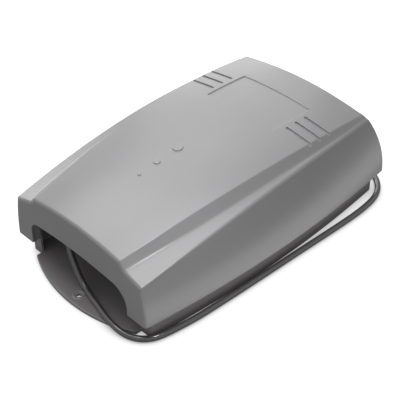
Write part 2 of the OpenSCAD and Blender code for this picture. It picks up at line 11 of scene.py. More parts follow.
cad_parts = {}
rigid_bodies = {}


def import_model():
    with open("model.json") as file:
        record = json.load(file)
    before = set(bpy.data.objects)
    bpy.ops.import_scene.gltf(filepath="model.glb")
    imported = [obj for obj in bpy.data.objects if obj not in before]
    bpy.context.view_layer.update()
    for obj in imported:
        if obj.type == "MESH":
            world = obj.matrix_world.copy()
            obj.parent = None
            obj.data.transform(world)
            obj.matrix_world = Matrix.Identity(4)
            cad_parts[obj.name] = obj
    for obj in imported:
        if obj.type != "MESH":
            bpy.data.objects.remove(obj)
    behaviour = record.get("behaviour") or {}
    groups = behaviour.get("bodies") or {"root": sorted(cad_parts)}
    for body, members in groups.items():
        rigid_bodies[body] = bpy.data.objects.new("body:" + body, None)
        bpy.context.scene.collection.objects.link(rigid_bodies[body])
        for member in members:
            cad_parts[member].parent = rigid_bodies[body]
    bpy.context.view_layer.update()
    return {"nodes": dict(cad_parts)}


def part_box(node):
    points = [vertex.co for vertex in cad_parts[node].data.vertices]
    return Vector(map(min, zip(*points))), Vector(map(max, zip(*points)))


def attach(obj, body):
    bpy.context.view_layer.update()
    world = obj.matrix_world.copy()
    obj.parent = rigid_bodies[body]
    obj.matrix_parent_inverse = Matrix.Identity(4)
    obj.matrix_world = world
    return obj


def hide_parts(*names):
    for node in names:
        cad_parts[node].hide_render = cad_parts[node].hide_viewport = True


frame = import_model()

MM = 0.001
CORD_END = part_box("front_cover")[0][1]          # y of the cover's cord end
EDGE_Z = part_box("front_cover")[0][2] / MM       # height of the cover's lower edge, mm
PLATE_T = 3.5                                   # thickness of the tray's floor, mm
TRAY_H, TRAY_WALL = 38.0, 2.5                   # height and thickness of the tray's wall
TRAY_IN = 8.2                                   # how far the tray stands in from the cover's lower edge
CORD_R = 3.3
BOOT_AT = (-41, 38, 63)                         # where the cord leaves its boot


def at(x, y, z):
    """A place given in millimetres from the cover's cord end, the centre line and the wall."""
    return Vector((x * MM, CORD_END + y * MM, z * MM))


# ---------------------------------------------------------------- meshes

def mesh_piece(name, verts, faces, sharp=32):
    """A piece from case millimetres, shaded smooth up to a sharp angle in degrees."""
    mesh = bpy.data.meshes.new(name)
    mesh.from_pydata([at(*v) for v in verts], [], faces)
    mesh.validate()
    return finished(name, mesh, sharp)


def finished(name, mesh, sharp=32):
    """Welds the mesh, turns its faces outward and links it as a piece."""
    bm = bmesh.new()
    bm.from_mesh(mesh)
    bmesh.ops.remove_doubles(bm, verts=bm.verts, dist=1e-6)
    bmesh.ops.recalc_face_normals(bm, faces=bm.faces)
    bm.to_mesh(mesh)
    bm.free()
    shade(mesh, sharp)
    piece = bpy.data.objects.new(name, mesh)
    bpy.context.scene.collection.objects.link(piece)
    return piece


def shade(mesh, sharp=32):
    """Smooth shading, kept sharp over edges steeper than the angle in degrees."""
    mesh.shade_smooth()
    mesh.set_sharp_from_angle(angle=math.radians(sharp))


def grid_faces(rows, cols, first=0, wrap=False):
    """Quads over a block of rows x cols points; wrap joins the last column to the first."""
    last = cols if wrap else cols - 1
    return [(first + r * cols + c, first + r * cols + (c + 1) % cols,
             first + (r + 1) * cols + (c + 1) % cols, first + (r + 1) * cols + c)
            for r in range(rows - 1) for c in range(last)]


def loft_faces(rows, cols):
    """Faces of a closed solid over rows of cols points, with a flat cap at each end."""
    last = (rows - 1) * cols
    caps = [tuple(range(cols))[::-1], tuple(last + k for k in range(cols))]
    return grid_faces(rows, cols, wrap=True) + caps


def joined(pieces, name):
    """Joins pieces into the first one."""
    bpy.ops.object.select_all(action="DESELECT")
    for p in pieces:
        p.select_set(True)
    bpy.context.view_layer.objects.active = pieces[0]
    bpy.ops.object.join()
    pieces[0].name = name
    return pieces[0]


def apply_modifiers(piece):
    """Makes the modifiers' result the piece's own mesh."""
    deps = bpy.context.evaluated_depsgraph_get()
    mesh = bpy.data.meshes.new_from_object(piece.evaluated_get(deps))
    piece.modifiers.clear()
    piece.data = mesh
    return piece


def cut(piece, cutter, sharp=32):
    """Takes the cutter out of the piece."""
    mod = piece.modifiers.new("cut", "BOOLEAN")
    mod.object = cutter
    mod.operation = "DIFFERENCE"
    mod.solver = "EXACT"
    apply_modifiers(piece)
    bpy.data.objects.remove(cutter)
    shade(piece.data, sharp)
    return piece


def spline(points, steps):
    """Smooth curve through given points."""
    p = np.array(points, float)
    q = np.vstack([2 * p[0] - p[1], p, 2 * p[-1] - p[-2]])
    out = []
    for i in range(1, len(q) - 2):
        a, b, c, d = q[i - 1:i + 3]
        for t in np.arange(steps) / steps:
            out.append(0.5 * (2 * b + t * (c - a) + t * t * (2 * a - 5 * b + 4 * c - d)
                              + t ** 3 * (3 * b - a - 3 * c + d)))
    return np.array(out + [p[-1]])


def tube(name, line, radius, sides=14):
    """A round tube along a line of case-millimetre points, with flat ends."""
    line = np.array(line, float)
    ahead = np.gradient(line, axis=0)
    ahead /= np.linalg.norm(ahead, axis=1)[:, None]
    side = np.cross(ahead[0], [0.31, 0.23, 0.92])
    radii = np.broadcast_to(radius, len(line))
    verts = []
    for p, t, r in zip(line, ahead, radii):
        side = side - t * side.dot(t)
        side /= np.linalg.norm(side)
        up = np.cross(t, side)
        verts += [p + r * (math.cos(a) * side + math.sin(a) * up)
                  for a in np.arange(sides) * 2 * math.pi / sides]
    return mesh_piece(name, verts, loft_faces(len(line), sides), 40)


def turned(name, profile, place, axis=(0, 0, 1), sides=48, sharp=32):
    """A solid of revolution. profile is (radius, along) in mm from the first to the last ring."""
    frame_to = Vector((0, 0, 1)).rotation_difference(Vector(axis)).to_matrix()
    verts = [Vector(place) + frame_to @ Vector((r * math.cos(a), r * math.sin(a), h))
             for r, h in profile for a in np.arange(sides) * 2 * math.pi / sides]
    return mesh_piece(name, verts, loft_faces(len(profile), sides), sharp)


def revolved_ring(name, place, profile, sides, sharp=32):
    """A ring turned about an upright axis; profile is a closed loop of (radius, height) in mm."""
    x, y, z = place
    verts = [(x + r * math.cos(a), y + r * math.sin(a), z + h)
             for r, h in profile for a in np.arange(sides) * 2 * math.pi / sides]
    faces = grid_faces(len(profile), sides, wrap=True)
    last = (len(profile) - 1) * sides
    faces += [(last + k, last + (k + 1) % sides, (k + 1) % sides, k) for k in range(sides)]
    return mesh_piece(name, verts, faces, sharp)


def slab(name, outline, rings, sharp=32):
    """A slab over a plan outline (counter-clockwise, mm) whose rings are (height, inset)."""
    pts = np.array(outline, float)
    before, after = np.roll(pts, 1, 0), np.roll(pts, -1, 0)
    along = (pts - before) / np.linalg.norm(pts - before, axis=1)[:, None]
    along2 = (after - pts) / np.linalg.norm(after - pts, axis=1)[:, None]
    inward = np.stack([-(along + along2)[:, 1], (along + along2)[:, 0]], -1)
    inward /= np.linalg.norm(inward, axis=1)[:, None]
    half = np.maximum(0.4, (inward * np.stack([-along[:, 1], along[:, 0]], -1)).sum(1))
    verts = [(x, y, z) for z, inset in rings for x, y in pts + inward * (inset / half)[:, None]]
    return mesh_piece(name, verts, loft_faces(len(rings), len(pts)), sharp)


# ---------------------------------------------------------------- camera and cord

def make_camera():
    """The viewing angle: above the cord end, to the right of the unit."""
    back = Vector((0.562236, -0.547490, 0.619794))
    right = Vector((math.cos(math.radians(45.7613)), math.sin(math.radians(45.7613)), 0))
    up = back.cross(right)
    cam = bpy.data.cameras.new("camera")
    cam.lens = 91.328
    cam.sensor_width = 36
    cam.clip_end = 20
    view = bpy.data.objects.new("camera", cam)
    view.matrix_world = Matrix((right, up, back)).transposed().to_4x4()
    view.matrix_world.translation = Vector((0.618312, -0.607412, 0.713165))
    bpy.context.scene.collection.objects.link(view)
    bpy.context.scene.camera = view


# The cord's centre line from the boot to the hank, as in the part's source, in millimetres.
ROUTE = [BOOT_AT, (-40.6, 33.8, 62.1), (-39.5, 28.1, 59.8), (-37.6, 22.6, 56.3),
         (-34.8, 17.7, 51.4), (-30.5, 13.5, 44.4), (-24, 10.6, 34.2), (-19, 9.8, 27),
         (-13.5, 8.8, 20), (-6.5, 7.6, 13.6), (2.5, 5.8, 9.2), (12.5, 3.4, 7.3),
         (23.5, 1, 7), (35, -1.9, 7), (46, -4.8, 6.9), (57, -6.4, 6.7), (68, -5.9, 4.6),
         (79, -3.2, 3.4), (88, 1.5, 3.4), (95, 9, 3.4), (99, 18, 3.4), (101.6, 30, 3.4),
         (104, 47, 3.4), (106, 66, 3.4), (107.6, 100, 3.4), (108.8, 135, 3.4),
         (109.8, 172, 3.4), (110.8, 210, 3.4), (111.8, 242, 3.4), (112.6, 272, 3.4),
         (112.8, 298, 3.4), (111.6, 320, 3.4), (108.6, 338, 3.4), (102.5, 352, 3.4),
         (93.5, 363, 3.4), (81.5, 371.7, 3.4), (65, 380.8, 3.4), (45, 391, 3.4),
         (25, 401.4, 3.4)]
HANK_MID = (-41, 391)
HANK_RUN, HANK_R, WAIST_R = 86, 19.8, 30
TIE_T = 1.2
PLUG_AT = (27, 366.3, 4.75)


def hank_turn():
    """Half angle between the two runs where they leave an end loop of the hank."""
    reach, lift = HANK_RUN / 2, CORD_R + WAIST_R
    return math.asin((HANK_R + WAIST_R) / math.hypot(reach, lift)) - math.atan2(lift, reach)


def loop_arc(side, start, end, z0, z1):
    """Part of an end loop, in degrees counter-clockwise, climbing from z0 to z1."""
    turns = np.radians(np.arange(start, end, 5.0 if end > start else -5.0))
    climb = np.linspace(0, 1, len(turns), endpoint=False)
    climb = climb * climb * (3 - 2 * climb)
    return [(HANK_MID[0] + side * HANK_RUN / 2 + HANK_R * math.cos(a),
             HANK_MID[1] + HANK_R * math.sin(a), z0 + (z1 - z0) * c) for a, c in zip(turns, climb)]


def waist_run(heading, side, z, part=(-1, 1)):
    """A run through the tie: heading is +1 or -1 along X, side +1 far or -1 near. It lifts over the tie."""
    turn = hank_turn()
    half = HANK_RUN / 2 - HANK_R * math.sin(turn)
    bend = WAIST_R * math.sin(turn)
    out = []
    for x in np.linspace(part[0] * half, part[1] * half, 25)[1:-1]:
        if abs(x) < bend:
            y = CORD_R + WAIST_R - math.sqrt(WAIST_R ** 2 - x * x)
        else:
            y = CORD_R + WAIST_R * (1 - math.cos(turn)) + (abs(x) - bend) * math.tan(turn)
        lift = TIE_T * math.exp(-(x / 11) ** 4)
        out.append((HANK_MID[0] + heading * x, HANK_MID[1] + side * y, z + lift))
    return out


def cord_line():
    """Route, then two and a half turns of the hank, then the last run to the connector."""
    turn = math.degrees(hank_turn())
    low, high = CORD_R + 0.05, 3 * CORD_R + 0.1
    line = [tuple(p) for p in spline(ROUTE, 8)]
    line += [(18.3, 404.8, 3.38)]
    line += loop_arc(1, 66, 90 + turn, low, low)
    line += waist_run(-1, 1, low) + loop_arc(-1, 90 - turn, 270 + turn, low, low)
    line += waist_run(1, -1, low) + loop_arc(1, 270 - turn, 400, low, high)
    line += loop_arc(1, 400, 450 + turn, high, high)
    line += waist_run(-1, 1, high) + loop_arc(-1, 90 - turn, 270 + turn, high, high)
    line += waist_run(1, -1, high, (-1, 0.9))
    x, y, z = PLUG_AT
    line += [(x - 31, y + 6.6, high), (x - 25, y + 3.9, high), (x - 19, y + 1.7, 9.6),
             (x - 14, y + 0.5, 8.6), (x - 9, y + 0.1, 7.2), (x - 4.5, y, 5.7), (x, y, z + 0.2),
             (x + 4, y, z)]
    return smoothed(line, 4)


def smoothed(line, step):
    """The line drawn again with even steps, in millimetres, and a little relaxed."""
    p = np.array(line, float)
    run = np.concatenate([[0], np.cumsum(np.linalg.norm(np.diff(p, axis=0), axis=1))])
    marks = np.linspace(0, run[-1], int(run[-1] / step) + 1)
    q = np.stack([np.interp(marks, run, p[:, k]) for k in range(3)], -1)
    q[1:-1] = 0.25 * q[:-2] + 0.5 * q[1:-1] + 0.25 * q[2:]
    return q


def length_of(line):
    """Length in metres of a line of case-millimetre points."""
    return float(np.linalg.norm(np.diff(np.array(line, float), axis=0), axis=1).sum()) * MM


def make_cord():
    """The cord as a curve of one open spline, and its length in metres."""
    curve = bpy.data.curves.new("cord_sheath", "CURVE")
    curve.dimensions = "3D"
    curve.bevel_depth = CORD_R * MM
    curve.bevel_resolution = 7
    curve.use_fill_caps = True
    path = curve.splines.new("POLY")
    fine = spline(cord_line(), 3)
    path.points.add(len(fine) - 1)
    for point, p in zip(path.points, fine):
        point.co = (*at(*p), 1)
    cord = bpy.data.objects.new("cord_sheath", curve)
    bpy.context.scene.collection.objects.link(cord)
    return cord, length_of(fine)


# ---------------------------------------------------------------- rules of the cover's surface
# The same rules as the part's source: s runs from 0 at the cord end to 1 at the top end.

LENGTH, WALL = 362.0, 2.8
TOP_LEAN, TOP_Z = 31.0, 83.0                    # how far the top end leans in, and at what height
PANEL_LENGTH = LENGTH - TOP_LEAN
NEAR_FILLET, FAR_FILLET = 3, 4                  # radii round the cord end and the top end
PIPS = [(4.0, 84.5), (7.6, 108.5), (11.6, 137.0)]    # diameter, y
LABEL = (-48, 48, 227, 285)                     # x and y of the recess
GROOVES = (241.5, 256, 270.5)                   # y of each pair
GUSSETS = (90, 182, 285)                        # y of each pair


def bowed(s, a, b, bow):
    """A value that runs from a to b along the case and bows out by bow halfway."""
    return a + (b - a) * s + 4 * bow * s * (1 - s)


# half widths, and heights over the lower edge, of the lines that make up the section
def rim_x(s): return bowed(s, 100, 100, 11.3)
def ridge_x(s): return bowed(s, 95, 92.2, 6.9)
def ridge_z(s): return bowed(s, 48, 78, 11.6)
def crease_x(s): return bowed(s, 64.5, 86, 7.7)
def crease_z(s): return bowed(s, 62.5, 83, 13.5)
def crown(s): return bowed(s, 6, 8, 0)


def shoulder_rise(s, f):
    """Height over the shoulder, 0 to 1, at share f of the way in from the ridge: a nearly level ledge,
    wide by the cord end and narrow by the top end, then a steep face up to the crease."""
    span = (ridge_x(s) - crease_x(s)) / (crease_z(s) - ridge_z(s))
    flat, knee, soft = (0.02 + 0.27 * (1 - s) ** 1.3) * span, 0.76 - 0.45 * s, 0.07 + 0.05 * s
    rise = (1 - flat * knee) / (1 - knee)

    def blend(f):
        level, steep = flat * f, 1 - rise * (1 - f)
        return (level + steep + math.hypot(level - steep, soft)) / 2
    return (blend(f) - blend(0)) / (blend(1) - blend(0))


def lean(z):
    """How far the top end stands in at a height over the lower edge."""
    return TOP_LEAN * np.clip(z / TOP_Z, 0, 1) ** 1.8


def panel_z(x, y):
    """Height of the front panel above the wall."""
    s = y / PANEL_LENGTH
    return EDGE_Z + crease_z(s) + crown(s) * (1 - (x / crease_x(s)) ** 2)


def bent(a, corner, b, n):
    """A small smooth bend from a to b round a corner, without its first point."""
    f = np.linspace(0, 1, n + 1)[1:, None]
    return (1 - f) ** 2 * np.array(a) + 2 * f * (1 - f) * np.array(corner) + f * f * np.array(b)


def half_section(s, t, soft=1.0):
    """Right half of the cover's section from the lower edge to the centre line, drawn in by t.
    soft scales the small radii at the lower edge, the ridge and the crease."""
    rim, ridge = np.array([rim_x(s) - t, 0.0]), np.array([ridge_x(s) - t, ridge_z(s) - t])
    span = np.array([crease_x(s) - ridge_x(s), crease_z(s) - ridge_z(s)])
    crease = ridge + span
    shoulder = lambda f: ridge + span * np.array([f, shoulder_rise(s, f)])
    wall = lambda g: rim + (ridge - rim) * np.array([g * g, g])
    ridge_soft = soft * bowed(s, 1.0, 4.4, 0.2)
    crease_soft = soft * bowed(s, 0.65, 0.8, 0.1)
    foot = 0.7 * soft
    g0, g1 = foot / ridge[1], 1 - ridge_soft / ridge[1]
    part = [rim - [foot, 0]] + list(bent(rim - [foot, 0], rim, wall(g0), 3))
    part += [wall(g) for g in np.linspace(g0, g1, 15)[1:]]
    f0 = min(0.45, ridge_soft / np.linalg.norm(span))
    part += list(bent(wall(g1), ridge, shoulder(f0), 7))
    f1 = 1 - crease_soft / np.linalg.norm(span)
    part += [shoulder(f) for f in np.linspace(f0, f1, 35)[1:]]
    g = 1 - crease_soft / crease[0]
    panel = lambda f: np.array([crease[0] * f, crease[1] + crown(s) * (1 - f * f)])
    part += list(bent(shoulder(f1), crease, panel(g), 5))
    part += [panel(f) for f in np.linspace(g, 0, 24)[1:]]
    return np.array(part)


def end_rows():
    """Rows of the outer form as (s, inset): a round fillet closes each end."""
    arc = np.radians(np.linspace(0, 90, 8))
    near = [(NEAR_FILLET * (1 - math.cos(a)) / LENGTH, NEAR_FILLET * (1 - math.sin(a))) for a in arc]
    far = [(1 - FAR_FILLET * (1 - math.cos(a)) / LENGTH, FAR_FILLET * (1 - math.sin(a))) for a in arc][::-1]
    middle = [(s, 0.0) for s in np.linspace(near[-1][0], far[0][0], 78)[1:-1]]
    return near + middle + far


def shell_rows(t):
    """Rings of the cover across its length: the outer form for t = 0, else the inner one."""
    rows = []
    for s, inset in end_rows():
        half = half_section(s, t if t else inset, 0.4 if t else 1.0)
        ring = np.vstack([half, half[-2::-1] * [-1, 1]])
        y = t + s * (LENGTH - 2 * t - lean(ring[:, 1]))
        rows.append(np.column_stack([ring[:, 0], y, ring[:, 1] + EDGE_Z]))
    return rows


def ladder(row, n, flip):
    """Cap of a symmetrical ring: quads between its mirrored points, closed by one triangle."""
    quads = [(row + i, row + i + 1, row + n - 2 - i, row + n - 1 - i) for i in range((n - 1) // 2 - 1)]
    quads.append((row + (n - 1) // 2 - 1, row + (n - 1) // 2, row + (n - 1) // 2 + 1))
    return [q[::-1] for q in quads] if flip else quads


def cover_shell():
    """The cover's hollow shell, open towards the wall."""
    outer, inner = shell_rows(0), shell_rows(WALL)
    m, n = len(outer), len(outer[0])
    hole = m * n
    faces = grid_faces(m, n) + [f[::-1] for f in grid_faces(m, n, hole)]
    faces += ladder(0, n, False) + ladder((m - 1) * n, n, True)
    faces += ladder(hole, n, True) + ladder(hole + (m - 1) * n, n, False)
    for r in range(m - 1):
        a, b = r * n, (r + 1) * n
        faces += [(a, b, hole + b, hole + a), (b + n - 1, a + n - 1, hole + a + n - 1, hole + b + n - 1)]
    last = (m - 1) * n
    faces += [(0, hole, hole + n - 1, n - 1), (last, last + n - 1, hole + last + n - 1, hole + last)]
    return mesh_piece("front_cover_shell", np.vstack(outer + inner), faces, 30)


ARCH_SIDES = ((72.8, 22.0), (-75.0, 13.0))      # x of each side of the opening and its corner radius
ARCH_TOP, ARCH_CROWN = 29.2, 3.0                # height of its corners over the lower edge, and its crown


def arch_outline(out=0.0, foot=-3.0):
    """The cord opening seen from the cord end, grown by out: upright sides and a slightly crowned top."""
    ends = []
    for edge, r in ARCH_SIDES:
        side = 1 if edge > 0 else -1
        cx, cz = abs(edge) - r, ARCH_TOP - r
        arc = [(side * (cx + (r + out) * math.cos(a)), cz + (r + out) * math.sin(a))
               for a in np.radians(np.linspace(0, 90, 13))]
        ends.append([(side * (abs(edge) + out), foot)] + arc)
    right, left = ends
    x0, x1 = right[-1][0], left[-1][0]
    middle, half = (x0 + x1) / 2, (x0 - x1) / 2
    top = [(x, ARCH_TOP + out + ARCH_CROWN * (1 - ((x - middle) / half) ** 2))
           for x in np.linspace(x0, x1, 21)[1:-1]]
    return right + top + left[::-1]


def arch_cutter(rim=0.9):
    """The cord opening, flared by a small radius where it meets the outer face."""
    flare = [(-2, rim)] + [(rim * (1 - math.cos(a)), rim * (1 - math.sin(a)))
                           for a in np.radians(np.linspace(0, 90, 6))] + [(14, 0.0)]
    rings = [[(x, y, z + EDGE_Z) for x, z in arch_outline(out)] for y, out in flare]
    return mesh_piece("arch_cutter", [p for r in rings for p in r], loft_faces(len(rings), len(rings[0])))


def arch_lip(depth=10.5, thick=2.4):
    """A flange that runs into the case round the cord opening."""
    root, soft = 2.0, 0.4
    section = ((root, 0.0), (depth - soft, 0.0), (depth, soft), (depth, thick - soft),
               (depth - soft, thick), (root, thick))
    rings = [[(x, y, z + EDGE_Z) for x, z in arch_outline(grow, 0.0)] for y, grow in section]
    m, n = len(rings), len(rings[0])
    faces = [(r * n + k, r * n + k + 1, (r + 1) % m * n + k + 1, (r + 1) % m * n + k)
             for r in range(m) for k in range(n - 1)]
    faces += [tuple(r * n for r in range(m)), tuple(r * n + n - 1 for r in range(m))[::-1]]
    return mesh_piece("arch_lip", [p for r in rings for p in r], faces)


def edge_profile(depth, rim):
    """(outset, height over the panel) from a recess's rounded lip down to its floor."""
    lip = [(rim * (1 - math.sin(a)), -rim * (1 - math.cos(a)) * 0.6)
           for a in np.radians((8, 25, 42, 60, 78, 90))]
    floor = [(-0.05, -depth + 0.3), (-0.2, -depth + 0.08), (-0.45, -depth)]
    return [(rim, 30.0), (rim, 0.12)] + lip + floor


def recess_cutter(x0, x1, y0, y1, depth):
    """A block whose underside follows the panel at a depth below it."""
    xs, ys = np.linspace(x0, x1, 25), np.linspace(y0, y1, 15)
    loop = ([(x, y0) for x in xs[:-1]] + [(x1, y) for y in ys[:-1]]
            + [(x, y1) for x in xs[:0:-1]] + [(x0, y) for y in ys[:0:-1]])
    mid = np.array([(x0 + x1) / 2, (y0 + y1) / 2])
    verts, rings = [], edge_profile(depth, 1.0)
    for out, h in rings:
        for x, y in loop:
            px = x + (out if x == x1 else -out if x == x0 else 0)
            py = y + (out if y == y1 else -out if y == y0 else 0)
            verts.append((px, py, panel_z(px, py) + h))
    n = len(loop)
    faces = grid_faces(len(rings), n, wrap=True)
    faces.append(tuple(range(n))[::-1])
    # the floor: rings drawn in towards the middle
    for f in (0.7, 0.4, 0.15):
        first = len(verts)
        for x, y in loop:
            px, py = mid + (np.array([x, y]) - mid) * f
            verts.append((px, py, panel_z(px, py) - depth))
        faces += grid_faces(2, n, first - n, wrap=True)
    faces.append(tuple(first + k for k in range(n)))
    return mesh_piece("recess_cutter", verts, faces)


def groove_cutter(y, side, x0=53.5, x1=89.0, width=3.6, depth=2.0):
    """A slot with round ends, following the panel at a depth below it."""
    r = width / 2
    verts, rings = [], edge_profile(depth, 0.4)
    for out, h in rings:
        w = r + out
        arc = np.radians(np.linspace(-90, 90, 11))
        run = np.linspace(x1 - r, x0 + r, 9)[1:-1]
        loop = [(x1 - r + w * math.cos(a), y + w * math.sin(a)) for a in arc]
        loop += [(x, y + w) for x in run]
        loop += [(x0 + r - w * math.cos(a), y + w * math.sin(a)) for a in arc[::-1]]
        loop += [(x, y - w) for x in run[::-1]]
        verts += [(side * x, v, panel_z(x, v) + h) for x, v in loop]
    return mesh_piece("groove_cutter", verts, loft_faces(len(rings), len(loop)))


def groove_tongue(y, side, x0=82, x1=88.9, r=2.3):
    """The end of a groove's floor, standing out over the shoulder past the crease."""
    arc = np.radians(np.linspace(-90, 90, 9))
    loop = [(x1 - r + r * math.cos(a), y + r * math.sin(a)) for a in arc] + [(x0, y + r), (x0, y - r)]
    rings = [(-7.0, 0.0), (-2.7, 0.0), (-2.3, 0.12), (-2.05, 0.4), (-1.95, 0.8)]
    verts = []
    for h, inset in rings:
        for px, py in loop:
            qx = px - inset * (1 if px > x0 else 0)
            qy = py - inset * (1 if py > y else -1 if py < y else 0)
            verts.append((side * qx, qy, panel_z(qx, qy) + h))
    return mesh_piece("groove_tongue", verts, loft_faces(len(rings), len(loop)), 50)


def panel_normal(x, y):
    """Direction straight out of the front panel."""
    dx = (panel_z(x + 1, y) - panel_z(x - 1, y)) / 2
    dy = (panel_z(x, y + 1) - panel_z(x, y - 1)) / 2
    return Vector((-dx, -dy, 1)).normalized()


def pip(d, y, height=1.3):
    """A round pip that stands out of the panel on the centre line."""
    r = d / 2
    top = [(r - 0.45 + 0.45 * math.cos(a), height - 0.45 + 0.45 * math.sin(a))
           for a in np.radians(np.linspace(0, 90, 5))]
    foot = [(r, -1.5), (r + 0.35, -0.05), (r + 0.1, 0.1), (r, 0.35)]
    dome = [(r * f, height + 0.08 * (1 - f)) for f in (0.6, 0.3, 0.05)]
    return turned("pip_%g" % d, foot + top + dome, (0, y, panel_z(0, y)), panel_normal(0, y), 56, 50)


def cover_gusset(y, side):
    """A thin web inside the side wall; its foot rests on the tray's wall."""
    s = y / LENGTH
    foot = rim_x(s) - TRAY_IN - TRAY_WALL
    wall = lambda z: rim_x(s) - (rim_x(s) - ridge_x(s)) * ((z - EDGE_Z) / ridge_z(s)) ** 2 - WALL + 0.8
    web = [(foot, TRAY_H), (wall(TRAY_H), TRAY_H), (wall(58), 58)]
    verts = [(side * x, y + w, z) for w in (-1.2, 1.2) for x, z in web]
    return mesh_piece("gusset", verts, [(0, 1, 2), (3, 5, 4), (0, 3, 4, 1), (1, 4, 5, 2), (2, 5, 3, 0)])


def weighted(piece):
    """Normals weighted by face area, so flat faces stay flat beside their small radii."""
    mod = piece.modifiers.new("weighted", "WEIGHTED_NORMAL")
    mod.keep_sharp = True
    mod.weight = 60
    return apply_modifiers(piece)


def make_cover():
    """The whole cover moulding: shell, opening with its flange, recess, grooves, pips and gussets."""
    shell = cover_shell()
    cut(shell, arch_cutter(), 30)
    cut(shell, recess_cutter(*LABEL, 1.2), 30)
    for y in GROOVES:
        for side in (-1, 1):
            cut(shell, groove_cutter(y, side), 30)
    weighted(shell)
    parts = [shell, arch_lip()] + [pip(d, y) for d, y in PIPS]
    parts += [groove_tongue(y, side) for y in GROOVES for side in (-1, 1)]
    parts += [cover_gusset(y, side) for y in GUSSETS for side in (-1, 1)]
    return joined(parts, "cover_moulding")


# ---------------------------------------------------------------- tray

TRAY_Y0, TRAY_Y1 = 12.0, 353.8
TRAY_CORNERS = (3, 6)                           # corner radii in plan, at the cord end and the top end
TONGUE_R, TONGUE_MID, TONGUE_HALF = 174, 160, 79
SEATS = [(0, -2), (60, TRAY_Y1 - 13), (-60, TRAY_Y1 - 13)]


def fillet_in(d, r):
    """How far a round corner of radius r draws the side in, at a distance d from the end."""
    return r - math.sqrt(max(0.0, r * r - (r - d) ** 2)) if d < r else 0.0


def plan_side(inset, y0, y1):
    """One side of the tray's plan: the lower edge's bowed outline drawn in, with round corners."""
    r0, r1 = TRAY_CORNERS
    near = [y0 + r0 * (1 - math.cos(a)) for a in np.radians(np.linspace(0, 90, 6))]
    far = [y1 - r1 * (1 - math.cos(a)) for a in np.radians(np.linspace(90, 0, 8))]
    ys = near + list(np.linspace(y0 + r0, y1 - r1, 40)[1:-1]) + far
    return [(rim_x(y / LENGTH) - inset - max(fillet_in(y - y0, r0), fillet_in(y1 - y, r1)), y) for y in ys]


def round_slab(name, outline, z0, z1, r=0.6, foot=0.3, sharp=32):
    """A slab over an outline whose top and bottom edges are rounded."""
    arc = np.radians(np.linspace(0, 90, 5))
    rings = [(z0 + foot * (1 - math.sin(a)), foot * (1 - math.cos(a))) for a in arc[::-1]]
    rings += [(z1 - r + r * math.sin(a), r * (1 - math.cos(a))) for a in arc]
    return weighted(slab(name, outline, rings, sharp))


def tray_floor():
    """The tray's plate with its rounded tongue and the holes for its screw seats."""
    side = plan_side(TRAY_IN, TRAY_Y0, TRAY_Y1)
    edge = math.asin(TONGUE_HALF / TONGUE_R)
    tongue = [(TONGUE_R * math.sin(a), TONGUE_MID - TONGUE_R * math.cos(a))
              for a in np.linspace(-edge, edge, 61)]
    outline = (tongue + [(TONGUE_HALF, TRAY_Y0)] + side
               + [(-x, y) for x, y in side[::-1]] + [(-TONGUE_HALF, TRAY_Y0)])
    floor = round_slab("tray_floor", outline, 0, PLATE_T, 0.8)
    for x, y in SEATS:
        cut(floor, turned("seat_cutter", [(5.9, -1), (5.9, 8)], (x, y, 0)))
    return floor


def screw_seat(x, y):
    """A raised rim round a sunk seat for a 10 mm screw head, with a bore of 5.4 mm."""
    profile = [(6.25, 0), (6.25, 3.8), (6.1, 4.15), (5.8, 4.3), (5.5, 4.3), (5.25, 4.15), (5.1, 3.3),
               (4.95, 3.1), (3.0, 3.1), (2.75, 3.0), (2.7, 2.8), (2.7, 0)]
    return revolved_ring("screw_seat", (x, y, 0), profile, 48, 40)


def tray_wall():
    """The wall round the tray, open at the cord end."""
    outer = plan_side(TRAY_IN, TRAY_Y0, TRAY_Y1)
    inner = plan_side(TRAY_IN + TRAY_WALL, TRAY_Y0 + TRAY_WALL, TRAY_Y1 - TRAY_WALL)
    half_out = [(TONGUE_HALF, TRAY_Y0)] + outer
    half_in = [(TONGUE_HALF, TRAY_Y0 + TRAY_WALL)] + inner
    outline = (half_out + [(-x, y) for x, y in half_out[::-1]]
               + [(-x, y) for x, y in half_in] + half_in[::-1])
    return round_slab("tray_wall_ring", outline, PLATE_T - 0.5, TRAY_H, 0.7, 0.0, 32)


def block(name, x0, x1, y0, y1, z0, z1, r=0.4, corner=0.5):
    """A moulded block with rounded corners and top edges."""
    arc = np.radians(np.linspace(0, 90, 4))
    outline = []
    for cx, cy, turn in ((x1, y0, -90), (x1, y1, 0), (x0, y1, 90), (x0, y0, 180)):
        ox, oy = cx - corner * (1 if cx == x1 else -1), cy - corner * (1 if cy == y1 else -1)
        outline += [(ox + corner * math.cos(a), oy + corner * math.sin(a))
                    for a in arc + math.radians(turn)]
    return round_slab(name, outline, z0, z1, r, 0.05, 40)


def bit(name, foot, size, r=0.1, corner=0.1):
    """A small block given by the middle of its foot and its size."""
    (x, y, z), (w, d, h) = foot, size
    return block(name, x - w / 2, x + w / 2, y - d / 2, y + d / 2, z, z + h, r, corner)


def standing_post(x, y, r, bore, top):
    """A screw post with a small foot radius and a blind bore."""
    profile = [(r + 0.8, PLATE_T - 0.3), (r + 0.15, PLATE_T + 0.6), (r, PLATE_T + 1.4), (r, top - 0.4),
               (r - 0.4, top), (bore + 0.3, top), (bore, top - 0.3), (bore, PLATE_T + 1)]
    return turned("post", profile, (x, y, 0), (0, 0, 1), 32, 40)


